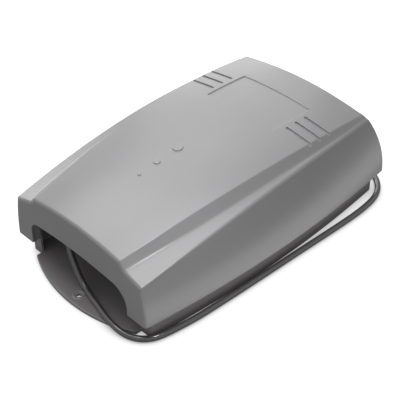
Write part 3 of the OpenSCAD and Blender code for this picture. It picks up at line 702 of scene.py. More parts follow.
def make_tray():
    """The whole tray moulding: plate, wall, screw seats, guides, posts and ribs."""
    parts = [tray_floor(), tray_wall()] + [screw_seat(x, y) for x, y in SEATS]
    for side in (-1, 1):
        for y in (58, 64.5):
            parts.append(block("guide", *sorted((side * 70, side * 84)), y, y + 2, PLATE_T, 12))
        for y in (76, 160):
            parts.append(standing_post(side * 64, y, 4, 1.3, 11.5))
        parts.append(standing_post(side * 77, 250.5, 5, 1.7, 15.5))
        for y in (172.6, 326.4):
            parts.append(block("rib", *sorted((side * 8, side * 58)), y, y + 2, PLATE_T, 12))
        for y in (187, 282):
            parts.append(block("rib", *sorted((side * 66.4, side * 68.4)), y, y + 32, PLATE_T, 12))
    return joined(parts, "tray_moulding")


# ---------------------------------------------------------------- cord bay

def upright(outline, y0, y1, name, r=0.4):
    """A plate standing across the case: its outline is in x and z."""
    arc = np.radians(np.linspace(0, 90, 4))
    rings = [(y0 + r * (1 - math.sin(a)), r * (1 - math.cos(a))) for a in arc[::-1]]
    rings += [(y1 - r + r * math.sin(a), r * (1 - math.cos(a))) for a in arc]
    flat = slab(name, outline, rings)
    for v in flat.data.vertices:
        x, y, z = v.co
        v.co = at(x / MM, z / MM, (y - CORD_END) / MM)
    return finished_again(flat)


def finished_again(piece, sharp=32):
    """Turns the faces outward again after the piece's points have been moved."""
    bm = bmesh.new()
    bm.from_mesh(piece.data)
    bmesh.ops.recalc_face_normals(bm, faces=bm.faces)
    bm.to_mesh(piece.data)
    bm.free()
    shade(piece.data, sharp)
    return piece


def make_bulkhead():
    """The wall between the cord bay and the battery space, with stiffening ribs."""
    outline = [(-84, PLATE_T), (84, PLATE_T), (84, 76), (70, 88), (-70, 88), (-84, 76)]
    panel = upright(outline, 60, 62.5, "bulkhead_panel")
    cut(panel, turned("boot_hole", [(6.5, 19), (6.5, 28)], BOOT_AT, (0, 1, 0)))
    ribs = [upright([(x, 14), (x + 1.6, 14), (x + 1.6, 74), (x, 74)], 59.2, 60.2, "bulkhead_rib", 0.2)
            for x in (-72, -16, 14, 44, 71)]
    ribs.append(upright([(-76, 10), (76, 10), (76, 11.6), (-76, 11.6)], 59.2, 60.2, "bulkhead_rib", 0.2))
    return joined([weighted(panel)] + ribs, "bulkhead_moulding")


def make_boot():
    """Strain relief: a tapered sleeve with ribs, and a flange on each side of the bulkhead."""
    rings = [(CORD_R, 0), (4.4, 0), (4.65, 0.25)]
    for k in range(7):
        y = 1.6 + 2.4 * k
        r = 4.75 + 0.11 * y
        rings += [(r, y), (r, y + 0.5), (r - 0.75, y + 0.7), (r - 0.75, y + 1.5), (r + 0.16, y + 1.7)]
    rings += [(7, 18.4), (7, 18.8), (8.7, 19), (9, 19.4), (9, 21.6), (8.7, 22), (6.5, 22), (6.5, 24.5),
              (8, 24.5), (8, 26.6), (7.6, 27), (CORD_R, 27)]
    return turned("boot_sleeve", rings, BOOT_AT, (0, 1, 0), 40, 40)


# ---------------------------------------------------------------- batteries and leads

BAT_Y0, BAT_Y1, BAT_Z0, BAT_Z1 = 175.0, 326.0, 5.5, 99.5


def make_battery(side):
    """A sealed battery: case with a belt, a lid with its sunk panel, and six valve covers."""
    x0, x1 = sorted((side * 1.0, side * 66.0))
    parts = [block("case", x0 + 0.6, x1 - 0.6, BAT_Y0 + 0.6, BAT_Y1 - 0.6, BAT_Z0, BAT_Z1 - 8.6, 0.3, 2),
             block("belt", x0, x1, BAT_Y0, BAT_Y1, BAT_Z0 + 0.8, BAT_Z1 - 10.9, 0.8, 2.4)]
    lid = block("lid", x0, x1, BAT_Y0, BAT_Y1, BAT_Z1 - 8.5, BAT_Z1, 1.0, 2.4)
    cut(lid, block("lid_panel", x0 + 12, x1 - 12, BAT_Y0 + 22, BAT_Y1 - 18, BAT_Z1 - 0.8, BAT_Z1 + 2,
                   0.1, 2))
    parts += [weighted(lid), block("valve_cover", x0 + 14, x1 - 14, BAT_Y0 + 24, BAT_Y1 - 20,
                                   BAT_Z1 - 1, BAT_Z1 - 0.1, 0.3, 3)]
    valve = [(4.6, -0.6), (4.6, -0.05), (4.3, 0), (3.4, 0), (3.2, -0.08)]
    for k in range(6):
        parts.append(turned("valve", valve, ((x0 + x1) / 2, BAT_Y0 + 36 + 16 * k, BAT_Z1), sides=28))
    return joined(parts, "battery_case_left" if side < 0 else "battery_case_right")


def spade_sleeve(x):
    """The insulated push-on connector that sits over a battery tab."""
    return bit("sleeve", (x, BAT_Y0 + 8, BAT_Z1 + 0.4), (8, 3.2, 8), 0.7, 0.9)


def header_lead(side, name):
    """A lead from a battery's outer tab down to the board's header."""
    y, top = BAT_Y0 - 4.8, BAT_Z1
    line = [(53.5, y + 11.2, top + 4.4), (53.5, y + 5.8, top + 3.6), (53, y + 1.5, top - 2),
            (52, y, top - 14), (49, y, top - 34), (42, y, top - 54), (30, y - 0.5, top - 66),
            (17, y - 4, top - 71), (8, y - 9, top - 71.5), (4.4, y - 13, top - 74),
            (4, 156, top - 78), (4, 156, 18.1)]
    lead = tube(name, spline([(side * a, b, c) for a, b, c in line], 8), 1.8, 12)
    return joined([lead, spade_sleeve(side * 53.5)], name)


def link_lead():
    """The short lead that joins the two batteries' inner tabs."""
    y, z = BAT_Y0, BAT_Z1 + 4.4
    line = [(-13, y + 6.4, z), (-12.6, y + 2, z), (-9, y - 2, z), (0, y - 3.4, z), (9, y - 2, z),
            (12.6, y + 2, z), (13, y + 6.4, z)]
    wire = tube("link", spline(line, 8), 1.8, 12)
    return joined([wire, spade_sleeve(13), spade_sleeve(-13)], "link_wire")


def feed_wires():
    """The cord's own end: sheath through the boot, then two cores to the terminal block."""
    x, y, z = BOOT_AT
    parts = [tube("sheath_end", [(x, y + 0.1 + k * 4.1, z) for k in range(9)], CORD_R - 0.02, 20)]
    for k in (-1, 1):
        line = [(x + 1.5 * k, y + 32.5, z), (x + 1.8 * k, y + 38, 60), (x + 2.4 * k, 83.5, 50),
                (x + 3.2 * k, 85.5, 38), (x + 3.2 * k, 85.5, 18.1)]
        parts.append(tube("core", spline(line, 8), 1.3, 12))
    return joined(parts, "feed_wires")


# ---------------------------------------------------------------- charger board

BOARD_Y, BOARD_TOP = 70.0, 13.1


def on_board(x, y, z=0.0):
    """A place over the board, from the middle of its near edge."""
    return (x, BOARD_Y + y, BOARD_TOP + z)


def make_choke():
    """A toroid on a base, wound with heavy copper wire."""
    cx, cy, cz = on_board(40, 30, 9)
    middle_r, core_r, wire_r, turns = 13, 5.3, 0.62, 27
    core = [(middle_r + core_r * math.cos(a), core_r * math.sin(a))
            for a in np.linspace(0, 2 * math.pi, 25)[:-1]]
    ring = revolved_ring("choke_core", (cx, cy, cz), core, 64)
    base = bit("choke_base", (cx, cy, BOARD_TOP), (32, 6, 3.5), 0.4, 1)
    line, coil_r = [], core_r + 0.55
    for a in 2 * math.pi * np.arange(turns * 16) / 16:
        b = a / turns * 0.94 + 0.2
        r = middle_r + coil_r * math.cos(a)
        line.append((cx + r * math.cos(b), cy + r * math.sin(b), cz + coil_r * math.sin(a)))
    return joined([ring, base], "choke_body"), tube("choke_winding", line, wire_r, 7)


def make_capacitor(k, x, y, r, h):
    """An electrolytic capacitor: sleeve with a rolled groove and foot, and its vented top."""
    px, py, pz = on_board(x, y)
    sleeve = [(r - 0.4, 0), (r, 0.4), (r, 2.2), (r - 0.55, 2.8), (r - 0.55, 3.3), (r, 3.9), (r, h - 0.7),
              (r - 0.2, h - 0.25), (r - 0.7, h), (r - 1.3, h), (r - 1.35, h - 0.3)]
    can = [(r - 0.5, h - 1), (r - 1.3, h - 0.35), (r * 0.4, h - 0.3), (0.2, h - 0.3)]
    body = turned("capacitor_sleeve_%d" % k, sleeve, (px, py, pz), sides=40)
    top = turned("capacitor_top_%d" % k, can, (px, py, pz), sides=40)
    vents = [bit("vent", (px, py, pz + h - 0.35), (w, d, 0.13), 0.05, 0.05)
             for w, d in ((0.24, 1.24 * r), (1.24 * r, 0.24))]
    foot = turned("capacitor_foot_%d" % k, [(r + 0.1, 0), (r + 0.4, 0.3), (r + 0.4, 2.1), (r - 0.1, 2.5)],
                  (px, py, pz), sides=40)
    return joined([body, foot], "capacitor_sleeve_%d" % k), joined([top] + vents, "capacitor_top_%d" % k)


def make_board_details():
    """Small parts and solder joints between the large ones, in three finishes."""
    black, tin, traces = [], [], []
    for k in range(7):
        x, y, z = on_board(-12 + 6.5 * k, 22)
        black.append(bit("chip_part", (x, y, z), (3.2, 1.6, 0.7)))
        tin += [bit("end", (x + s * 1.9, y, z), (0.7, 1.6, 0.72)) for s in (-1, 1)]
    diode = [(0.6, -2.2), (1.3, -2.1), (1.3, 2.1), (0.6, 2.2)]
    wire = [(2.2, 1.4), (3.4, 1.4), (3.9, 1.1), (4, 0)]
    for k in range(5):
        x, y, z = on_board(-62, 22 + 6 * k)
        black.append(turned("diode", diode, (x, y, z + 1.4), (1, 0, 0), 20))
        tin += [tube("wire", [(x + s * a, y, z + b) for a, b in wire], 0.35, 8) for s in (-1, 1)]
    cone = [(0.9, 0), (0.75, 0.2), (0.35, 0.6), (0.05, 0.7)]
    for k in range(16):
        tin.append(turned("joint", cone, on_board(-51 + 7 * k, 4), sides=16))
    strips = [(-56 + 4.2 * k, 76, 0.9, 14 - k) for k in range(9)]
    strips += [(6 + 4.2 * k, 76 + 0.6 * k, 0.9, 14 - 0.6 * k) for k in range(9)]
    strips += [(24 + 4 * k, 8, 1.4, 6 + 1.5 * k) for k in range(6)]
    for x, y, w, d in strips:
        traces.append(bit("trace", on_board(x + w / 2, y + d / 2, -0.02), (w, d, 0.07), 0.02))
    return joined(black, "board_small_parts"), joined(tin, "board_solder"), joined(traces, "board_traces")


def dressed(node, name, width=0.3, sharp=28):
    """The node's own solid with its hard edges rounded, as a piece that replaces it."""
    bm = bmesh.new()
    bm.from_mesh(bpy.data.objects[node].data)
    bmesh.ops.remove_doubles(bm, verts=bm.verts, dist=2e-6)
    bmesh.ops.dissolve_limit(bm, angle_limit=math.radians(0.8), verts=bm.verts, edges=bm.edges)
    hard = [e for e in bm.edges if len(e.link_faces) == 2 and e.calc_face_angle(0) > math.radians(sharp)]
    bmesh.ops.bevel(bm, geom=hard, offset=width * MM, segments=2, profile=0.6, affect="EDGES",
                    clamp_overlap=True)
    mesh = bpy.data.meshes.new(name)
    bm.to_mesh(mesh)
    bm.free()
    shade(mesh, 40)
    piece = bpy.data.objects.new(name, mesh)
    bpy.context.scene.collection.objects.link(piece)
    return weighted(piece)


def make_transistor(k, x):
    """A power transistor against the heat sink: moulded body, then its tab and three legs."""
    px, py, pz = on_board(x, 62.5)
    body = block("transistor_body_%d" % k, px - 5, px + 5, py - 3, py + 1.5, pz + 6, pz + 15, 0.5, 0.4)
    tab = block("transistor_tab_%d" % k, px - 5, px + 5, py + 0.2, py + 1.5, pz + 15, pz + 21, 0.3, 0.3)
    cut(tab, turned("tab_hole", [(1.7, -4), (1.7, 6)], (px, py, pz + 18), (0, 1, 0), 24))
    legs = [bit("leg", (px + 2.5 * j, py - 0.9, pz), (0.8, 0.6, 6.2)) for j in (-1, 0, 1)]
    return body, joined([tab] + legs, "transistor_metal_%d" % k)


def make_chip():
    """The controller chip: body with its end notch, and two rows of 14 pins."""
    x, y, z = on_board(6, 12)
    body = block("chip_body", x - 17, x + 17, y - 3.3, y + 3.3, z + 0.9, z + 4.3, 0.35, 0.3)
    cut(body, turned("notch", [(1.1, 3.9), (1.1, 6)], (x - 17, y, z), sides=20))
    pins = [bit("pin", (x - 16.5 + 2.54 * k, y + s * 3.7, z), (0.5, 1.0, 2.4), 0.15)
            for k in range(14) for s in (-1, 1)]
    return body, joined(pins, "chip_pins")


def make_terminal_screws():
    """The slotted clamp screws in the terminal block's wells."""
    parts = []
    for dx in (-9.5, -3.2, 3.2, 9.5):
        x, y, z = on_board(-41 + dx, 15.5)
        head = turned("terminal_screw", [(1.9, 5), (1.9, 7.4), (1.7, 7.8), (0.1, 7.8)], (x, y, z), sides=24)
        cut(head, bit("slot", (x, y, z + 7), (4.8, 0.7, 2), 0.05, 0.05))
        parts.append(head)
    return joined(parts, "terminal_screws")


def make_led():
    """A 5 mm LED: rim, barrel and dome."""
    rim = [(2.9, 0), (2.9, 0.8), (2.7, 1), (2.5, 1.05), (2.5, 5)]
    dome = [(2.5 * math.cos(a), 5 + 2.5 * math.sin(a)) for a in np.radians(np.linspace(0, 86, 9))]
    return turned("led_dome", rim + dome, on_board(48, 88), sides=32)


def make_fuse():
    """A glass fuse: its tube, then the caps with the wire between them."""
    x, y, z = -30, BOARD_Y, BOARD_TOP + 5.2
    glass = turned("fuse_glass", [(2.7, 25.5), (2.7, 38.5)], (x, y, z), (0, 1, 0), 32)
    wire = tube("fuse_wire", [(x, y + 25, z), (x + 0.3, y + 29, z + 0.2), (x - 0.2, y + 33, z - 0.2),
                              (x, y + 39, z)], 0.18, 8)
    caps = [turned("cap", [(2.4, a), (3, a + 0.15), (3.15, a + 0.5), (3.15, a + 3), (2.9, a + 3.5)],
                   (x, y, z), (0, 1, 0), 32) for a in (22, 38.5)]
    return glass, joined(caps + [wire], "fuse_metal")


# ---------------------------------------------------------------- hank tie and connector

def make_tie():
    """A nylon tie round the hank's waist: toothed band, head and the cut tail."""
    (x, y), top = HANK_MID, 4 * CORD_R + 2 * TIE_T
    half, w = 2 * CORD_R, 4.8
    parts = [bit("band", (x, y, z), (w, 2 * (half + TIE_T), TIE_T), 0.3, 0.8) for z in (0, top - TIE_T)]
    parts += [bit("band", (x, y + s * (half + TIE_T / 2), 0.4), (w, TIE_T, top - 0.8), 0.3, 0.4)
              for s in (-1, 1)]
    parts += [bit("tooth", (x, y - half + 1.1 * k + 0.25, top - 0.1), (3, 0.5, 0.28)) for k in range(1, 12)]
    parts.append(bit("head", (x, y, top), (6.8, 8, 3.4), 0.9, 1.0))
    parts.append(bit("tail", (x, y, top + 2.5), (3.8, 1.4, 0.85), 0.2, 0.3))
    return joined(parts, "tie_band")


def make_plug():
    """Free connector: ribbed sleeve, rounded body with a latch, and a mouth round two sockets."""
    x, y, z = PLUG_AT
    rings = [(CORD_R, 0), (3.6, 0.1), (3.7, 0.5)]
    for k in range(6):
        a = 1.5 + 2.9 * k
        r = 3.68 + 0.05 * a
        rings += [(r, a), (r, a + 1.4), (r - 0.35, a + 1.6), (r - 0.35, a + 2.3), (r, a + 2.5)]
    rings += [(4.65, 19), (4.7, 20.5), (CORD_R, 20.5)]
    sleeve = turned("plug_sleeve", rings, (x, y, z), (1, 0, 0), 36, 40)
    body = block("plug_body", x + 20, x + 36, y - 6.5, y + 6.5, 0, 9.5, 1.2, 1.4)
    cut(body, block("mouth", x + 27, x + 38, y - 5.1, y + 5.1, 1.4, 8.1, 0.3, 0.5))
    latch = block("latch", x + 27, x + 35, y - 2, y + 2, 8.9, 10.4, 0.6, 0.6)
    grips = [bit("grip", (x + 21.8 + 1.3 * k, y, 9.3), (0.6, 10, 0.45), 0.15, 0.2) for k in range(4)]
    return joined([sleeve, weighted(body), latch] + grips, "plug_body")


# ---------------------------------------------------------------- materials

class Nodes:
    """Short way of building a node tree: new nodes, values on their inputs, and links."""

    def __init__(self, tree):
        self.tree = tree

    def add(self, kind, _links=None, **values):
        node = self.tree.nodes.new(kind)
        for key, value in values.items():
            if hasattr(node, key):
                setattr(node, key, value)
            else:
                node.inputs[key.replace("_", " ")].default_value = value
        for key, source in (_links or {}).items():
            self.link(source, node.inputs[key])
        return node

    def link(self, source, target):
        self.tree.links.new(source, target)

    def place(self):
        """Place on the piece, in metres."""
        return self.add("ShaderNodeTexCoord").outputs["Object"]

    def maths(self, operation, *values):
        """A Math node's result; each value is a number or a socket."""
        node = self.add("ShaderNodeMath", operation=operation)
        for socket, value in zip(node.inputs, values):
            if isinstance(value, (int, float)):
                socket.default_value = value
            else:
                self.link(value, socket)
        return node.outputs[0]

    def stretched(self, scale):
        """Place on the piece, scaled by its own amount along each axis."""
        node = self.add("ShaderNodeVectorMath", {0: self.place()}, operation="MULTIPLY")
        node.inputs[1].default_value = scale
        return node.outputs[0]


def shared_group(name, inputs, outputs, build):
    """A node group built once: inputs are names with their values, and outputs are names."""
    if name in bpy.data.node_groups:
        return bpy.data.node_groups[name]
    group = bpy.data.node_groups.new(name, "ShaderNodeTree")
    for label, value in inputs.items():
        socket = group.interface.new_socket(label, in_out="INPUT", socket_type="NodeSocketFloat")
        socket.default_value = value
    for label in outputs:
        group.interface.new_socket(label, in_out="OUTPUT", socket_type="NodeSocketFloat")
    n = Nodes(group)
    build(n, n.add("NodeGroupInput"), n.add("NodeGroupOutput"))
    return group


def moulding_detail():
    """Fine grain, slow mottle and flow lines of a moulded plastic, by place on the piece."""
    def build(n, given, out):
        grain = n.add("ShaderNodeTexNoise", {"Vector": n.place(), "Scale": given.outputs["Grain"]},
                      Detail=3.0, Roughness=0.6)
        slow = n.add("ShaderNodeTexNoise", {"Vector": n.place()}, Scale=22.0, Detail=2.0)
        flow = n.add("ShaderNodeTexNoise", {"Vector": n.stretched((60, 9, 60))}, Scale=1.0, Detail=2.0)
        both = n.maths("ADD", slow.outputs[0], flow.outputs[0])
        n.link(grain.outputs[0], out.inputs["Grain"])
        n.link(n.maths("MULTIPLY", both, 0.5), out.inputs["Mottle"])
    return shared_group("moulding_detail", {"Grain": 2200.0}, ("Grain", "Mottle"), build)


def dust_specks():
    """Mask of a few small specks scattered over a surface."""
    def build(n, given, out):
        cells = n.add("ShaderNodeTexVoronoi", {"Vector": n.place(), "Scale": given.outputs["Density"]},
                      Randomness=1.0)
        speck = n.maths("LESS_THAN", cells.outputs["Distance"], 0.04)
        chance = n.add("ShaderNodeSeparateColor", {0: cells.outputs["Color"]}).outputs[0]
        some = n.maths("LESS_THAN", chance, given.outputs["Share"])
        n.link(n.maths("MULTIPLY", speck, some), out.inputs["Mask"])
    return shared_group("dust_specks", {"Density": 110.0, "Share": 0.06}, ("Mask",), build)


def painted_edge_highlight():
    """Mask of a moulding's edges, where a painted highlight pales the colour, broken up a little along
    their length.
    """
    def build(n, given, out):
        rounded = n.add("ShaderNodeBevel", {"Radius": given.outputs["Radius"]}, samples=6)
        surface = n.add("ShaderNodeNewGeometry")
        same = n.add("ShaderNodeVectorMath", {0: rounded.outputs[0], 1: surface.outputs["Normal"]},
                     operation="DOT_PRODUCT").outputs["Value"]
        edge = map_range(n, same, 0.99, 0.9, 0.0, 1.0)
        broken = n.add("ShaderNodeTexNoise", {"Vector": n.place()}, Scale=60.0, Detail=2.0)
        n.link(n.maths("MULTIPLY", edge, between(n, broken.outputs[0], 0.7, 1.0)), out.inputs["Mask"])
    return shared_group("painted_edge_highlight", {"Radius": 0.0008}, ("Mask",), build)


def new_material(name):
    """A material with an empty Principled surface, and the builder of its nodes."""
    mat = bpy.data.materials.new(name)
    mat.use_nodes = True
    mat.node_tree.nodes.clear()
    n = Nodes(mat.node_tree)
    shader = n.add("ShaderNodeBsdfPrincipled")
    n.add("ShaderNodeOutputMaterial", {"Surface": shader.outputs[0]})
    return mat, n, shader


def group_node(n, group, **values):
    """A shared group placed in a material with its own values."""
    node = n.add("ShaderNodeGroup")
    node.node_tree = group
    for key, value in values.items():
        node.inputs[key].default_value = value
    return node


def map_range(n, value, from_low, from_high, low, high):
    """The value moved from one range to another, and kept inside it."""
    node = n.add("ShaderNodeMapRange", {"Value": value})
    for label, limit in zip(("From Min", "From Max", "To Min", "To Max"), (from_low, from_high, low, high)):
        node.inputs[label].default_value = limit
    return node.outputs[0]


def between(n, factor, low, high):
    """A value that runs from low to high with a noise factor, which stays near 0.3 to 0.7."""
    return map_range(n, factor, 0.3, 0.7, low, high)


def blend_colour(n, factor, low, high):
    """A colour between low and high; each is a colour or a socket."""
    node = n.add("ShaderNodeMix", {"Factor": factor}, data_type="RGBA")
    for socket, colour in ((6, low), (7, high)):
        if isinstance(colour, tuple):
            node.inputs[socket].default_value = (*colour, 1)
        else:
            n.link(colour, node.inputs[socket])
    return node.outputs[2]


def bump(n, height, distance):
    """A normal raised by the height, which stands for a distance in metres."""
    return n.add("ShaderNodeBump", {"Height": height}, Distance=distance, Strength=1.0).outputs[0]


PALE_DUST_AND_HIGHLIGHT = (0.8, 0.8, 0.8)                          # pale of the dust specks, and of the painted highlight along edges


def plastic(name, low, high, rough=(0.35, 0.45), grain=2200.0, depth=2e-5, dust=None, ior=1.5, edges=None):
    """Moulded plastic: mottled colour and gloss with a fine grain. dust is (specks per metre, share
    of them that shows) and edges is the painted highlight along the edges: (radius in metres, how pale it
    is)."""
    mat, n, shader = new_material(name)
    detail = group_node(n, moulding_detail(), Grain=grain)
    colour = blend_colour(n, between(n, detail.outputs["Mottle"], 0, 1), low, high)
    roughness = between(n, detail.outputs["Mottle"], *rough)
    # painted highlight: the colour along the edges is paled towards light grey
    if edges:
        radius, amount = edges
        painted_edge_light = n.maths("MULTIPLY", group_node(n, painted_edge_highlight(), Radius=radius).outputs[0], amount)
        colour = blend_colour(n, painted_edge_light, colour, PALE_DUST_AND_HIGHLIGHT)
    if dust:
        density, share = dust
        specks = group_node(n, dust_specks(), Density=density, Share=share).outputs[0]
        colour = blend_colour(n, specks, colour, PALE_DUST_AND_HIGHLIGHT)
        roughness = n.maths("MAXIMUM", roughness, specks)
    n.link(colour, shader.inputs["Base Color"])
    n.link(roughness, shader.inputs["Roughness"])
    n.link(bump(n, detail.outputs["Grain"], depth), shader.inputs["Normal"])
    shader.inputs["IOR"].default_value = ior
    return mat


def metal(name, low, high, rough=(0.25, 0.4), brushed=(900, 30, 900), depth=1e-5):
    """Bare or plated metal with drawing marks along one axis."""
    mat, n, shader = new_material(name)
    marks = n.add("ShaderNodeTexNoise", {"Vector": n.stretched(brushed)}, Scale=1.0, Detail=3.0).outputs[0]
    n.link(blend_colour(n, between(n, marks, 0, 1), low, high), shader.inputs["Base Color"])
    n.link(between(n, marks, *rough), shader.inputs["Roughness"])
    n.link(bump(n, marks, depth), shader.inputs["Normal"])
    shader.inputs["Metallic"].default_value = 1.0
    return mat


def foam():
    """Dark closed-cell foam."""
    mat, n, shader = new_material("foam")
    cells = n.add("ShaderNodeTexVoronoi", {"Vector": n.place()}, Scale=900.0).outputs["Distance"]
    n.link(blend_colour(n, cells, (0.02, 0.02, 0.022), (0.06, 0.06, 0.065)), shader.inputs["Base Color"])
    n.link(bump(n, cells, 3e-4), shader.inputs["Normal"])
    shader.inputs["Roughness"].default_value = 0.9
    return mat


def laminate():
    """Solder-masked board: a woven glass pattern shows faintly through the green."""
    mat, n, shader = new_material("board_laminate")
    warp, weft = (n.add("ShaderNodeTexWave", {"Vector": n.place()}, Scale=260.0, bands_direction=d,
                        Distortion=0.4).outputs[1] for d in ("X", "Y"))
    weave = n.maths("MULTIPLY", warp, weft)
    n.link(blend_colour(n, weave, (0.012, 0.085, 0.035), (0.02, 0.13, 0.055)), shader.inputs["Base Color"])
    n.link(bump(n, weave, 1.5e-5), shader.inputs["Normal"])
    n.link(between(n, weave, 0.3, 0.36), shader.inputs["Roughness"])
    return mat


def glass():
    """Clear fuse glass with a faint film."""
    mat, n, shader = new_material("fuse_glass")
    film = n.add("ShaderNodeTexNoise", {"Vector": n.place()}, Scale=300.0).outputs[0]
    n.link(between(n, film, 0.02, 0.08), shader.inputs["Roughness"])
    n.link(blend_colour(n, film, (0.92, 0.96, 0.96), (1, 1, 1)), shader.inputs["Base Color"])
    shader.inputs["Transmission Weight"].default_value = 1.0
    shader.inputs["IOR"].default_value = 1.47
    return mat


def lens():
    """Milky green resin of the LED."""
    mat, n, shader = new_material("led_lens")
    cloud = n.add("ShaderNodeTexNoise", {"Vector": n.place()}, Scale=500.0).outputs[0]
    n.link(blend_colour(n, cloud, (0.03, 0.4, 0.08), (0.08, 0.62, 0.16)), shader.inputs["Base Color"])
    n.link(between(n, cloud, 0.12, 0.22), shader.inputs["Roughness"])
    shader.inputs["Transmission Weight"].default_value = 0.5
    return mat


def grey(value, tint=0.0):
    """A grey that is a little warm and violet."""
    return (value + 0.02 * tint, value, value + 0.03 * tint)


# low and high colour, range of roughness, fineness of the grain and its depth in metres
PLASTICS = {
    "black_plastic": (grey(0.012), grey(0.02), (0.4, 0.55), 2000.0, 2e-5),
    "battery_case": ((0.03, 0.032, 0.036), (0.042, 0.045, 0.05), (0.4, 0.55), 1500.0, 4e-5),
    "relay_plastic": ((0.015, 0.05, 0.17), (0.02, 0.065, 0.21), (0.25, 0.35)),
    "capacitor_sleeve": ((0.01, 0.014, 0.05), (0.014, 0.02, 0.07), (0.2, 0.3)),
    "chip_plastic": (grey(0.012), grey(0.018), (0.45, 0.6), 3000.0, 2e-5),
    "terminal_plastic": ((0.02, 0.16, 0.05), (0.03, 0.2, 0.065), (0.3, 0.4)),
    "header_plastic": ((0.62, 0.6, 0.5), (0.7, 0.68, 0.58), (0.35, 0.45)),
    "red_insulation": ((0.42, 0.012, 0.01), (0.52, 0.02, 0.014), (0.3, 0.4), 1500.0),
    "black_insulation": (grey(0.012), grey(0.02), (0.3, 0.4), 1500.0),
    "boot_rubber": (grey(0.014), grey(0.02), (0.5, 0.65), 1600.0, 3e-5),
    "tie_nylon": (grey(0.02), grey(0.03), (0.3, 0.4)),
    "plug_plastic": (grey(0.014), grey(0.022), (0.35, 0.5), 1500.0, 3e-5),
}
# low and high colour, range of roughness and how the drawing marks are stretched
METALS = {
    "tab_metal": ((0.62, 0.6, 0.56), (0.75, 0.73, 0.7)),
    "strap_steel": ((0.5, 0.51, 0.52), (0.68, 0.69, 0.7), (0.3, 0.5), (30, 900, 900)),
    "screw_steel": ((0.5, 0.5, 0.48), (0.66, 0.66, 0.63), (0.2, 0.35)),
    "copper_winding": ((0.55, 0.2, 0.07), (0.72, 0.3, 0.12), (0.2, 0.32)),
    "sink_aluminium": ((0.55, 0.56, 0.57), (0.7, 0.71, 0.72), (0.3, 0.45), (900, 900, 40)),
}


def make_materials():
    """Every finish, by its material slot."""
    made = {"board_laminate": laminate(), "fuse_glass": glass(), "led_lens": lens(), "foam": foam()}
    made.update({slot: plastic(slot, *values) for slot, values in PLASTICS.items()})
    made.update({slot: metal(slot, *values) for slot, values in METALS.items()})
    # the edges values paint a highlight along the rounded edges of the cover and the tray
    made["cover_plastic"] = plastic("cover_plastic", grey(0.33, 0.3), grey(0.345, 0.3), (0.29, 0.31),
                                    1500.0, 2.5e-5, dust=(110.0, 0.03), ior=1.75, edges=(0.001, 0.4))
    made["tray_plastic"] = plastic("tray_plastic", (0.31, 0.294, 0.296), (0.32, 0.304, 0.306), (0.27, 0.3),
                                   1500.0, 2.0e-5, ior=1.65, edges=(0.0014, 0.6))
    made["cord_sheath"] = plastic("cord_sheath", grey(0.1, 0.2), grey(0.11, 0.2), (0.15, 0.18),
                                  1400.0, 2e-5, ior=2.1)
    return made


def finish_piece(piece, slot, replaced=(), body="base"):
    """Gives a piece its material from the slot, hides the CAD nodes it stands for and puts it on the body
    it rides on.
    """
    piece.data.materials.clear()
    piece.data.materials.append(MATERIALS[slot])
    if replaced:
        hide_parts(*replaced)
    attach(piece, body)
    return piece


def dress_nodes():
    """CAD nodes whose shape is right stay, with their material."""
    for node in ("tabs_left", "tabs_right"):
        target = frame["nodes"][node]
        for solid in [target, *target.children_recursive]:
            for slot in solid.material_slots:
                slot.material = MATERIALS["tab_metal"]


# ---------------------------------------------------------------- stage

FLOOR_ALBEDO, FLOOR_SEEN, FLOOR_GLOSS, WORLD = 0.3, 0.95, 0.05, 0.38
CONTACT_SHADOW = 0.012                          # reach of the dark line where something stands, m


def make_floor():
    """A pale floor that looks nearly white and keeps the shadow of what stands on it."""
    reach = 6.0
    corners = [(x * reach, y * reach, 0) for x, y in ((-1, -1), (1, -1), (1, 1), (-1, 1))]
    mesh = bpy.data.meshes.new("floor")
    mesh.from_pydata(corners, [], [(0, 1, 2, 3)])
    floor = bpy.data.objects.new("floor", mesh)
    bpy.context.scene.collection.objects.link(floor)
    mat = bpy.data.materials.new("floor_white")
    mat.use_nodes = True
    mat.node_tree.nodes.clear()
    n = Nodes(mat.node_tree)
    matt = n.add("ShaderNodeBsdfDiffuse", Color=(FLOOR_ALBEDO,) * 3 + (1,))
    glow = n.add("ShaderNodeEmission", Color=(1, 1, 1, 1))
    path = n.add("ShaderNodeLightPath")
    open_sky = n.add("ShaderNodeAmbientOcclusion", samples=8, Distance=CONTACT_SHADOW)
    lit = n.maths("MULTIPLY", n.maths("POWER", open_sky.outputs["AO"], 0.8), FLOOR_SEEN)
    seen = n.maths("MULTIPLY", path.outputs["Is Camera Ray"], lit)
    gloss = n.maths("MULTIPLY", path.outputs["Is Glossy Ray"], FLOOR_GLOSS)
    n.link(n.maths("ADD", seen, gloss), glow.inputs["Strength"])
    both = n.add("ShaderNodeAddShader", {0: matt.outputs[0], 1: glow.outputs[0]})
    n.add("ShaderNodeOutputMaterial", {"Surface": both.outputs[0]})
    mesh.materials.append(mat)


def softbox(name, place, target, size, watts):
    """A rectangular soft lamp at a place in metres, turned to face its target."""
    lamp = bpy.data.lights.new(name, "AREA")
    lamp.shape = "RECTANGLE"
    lamp.size, lamp.size_y = size
    lamp.energy = watts
    light = bpy.data.objects.new(name, lamp)
    light.location = place
    light.rotation_euler = (Vector(target) - Vector(place)).to_track_quat("-Z", "Y").to_euler()
    bpy.context.scene.collection.objects.link(light)


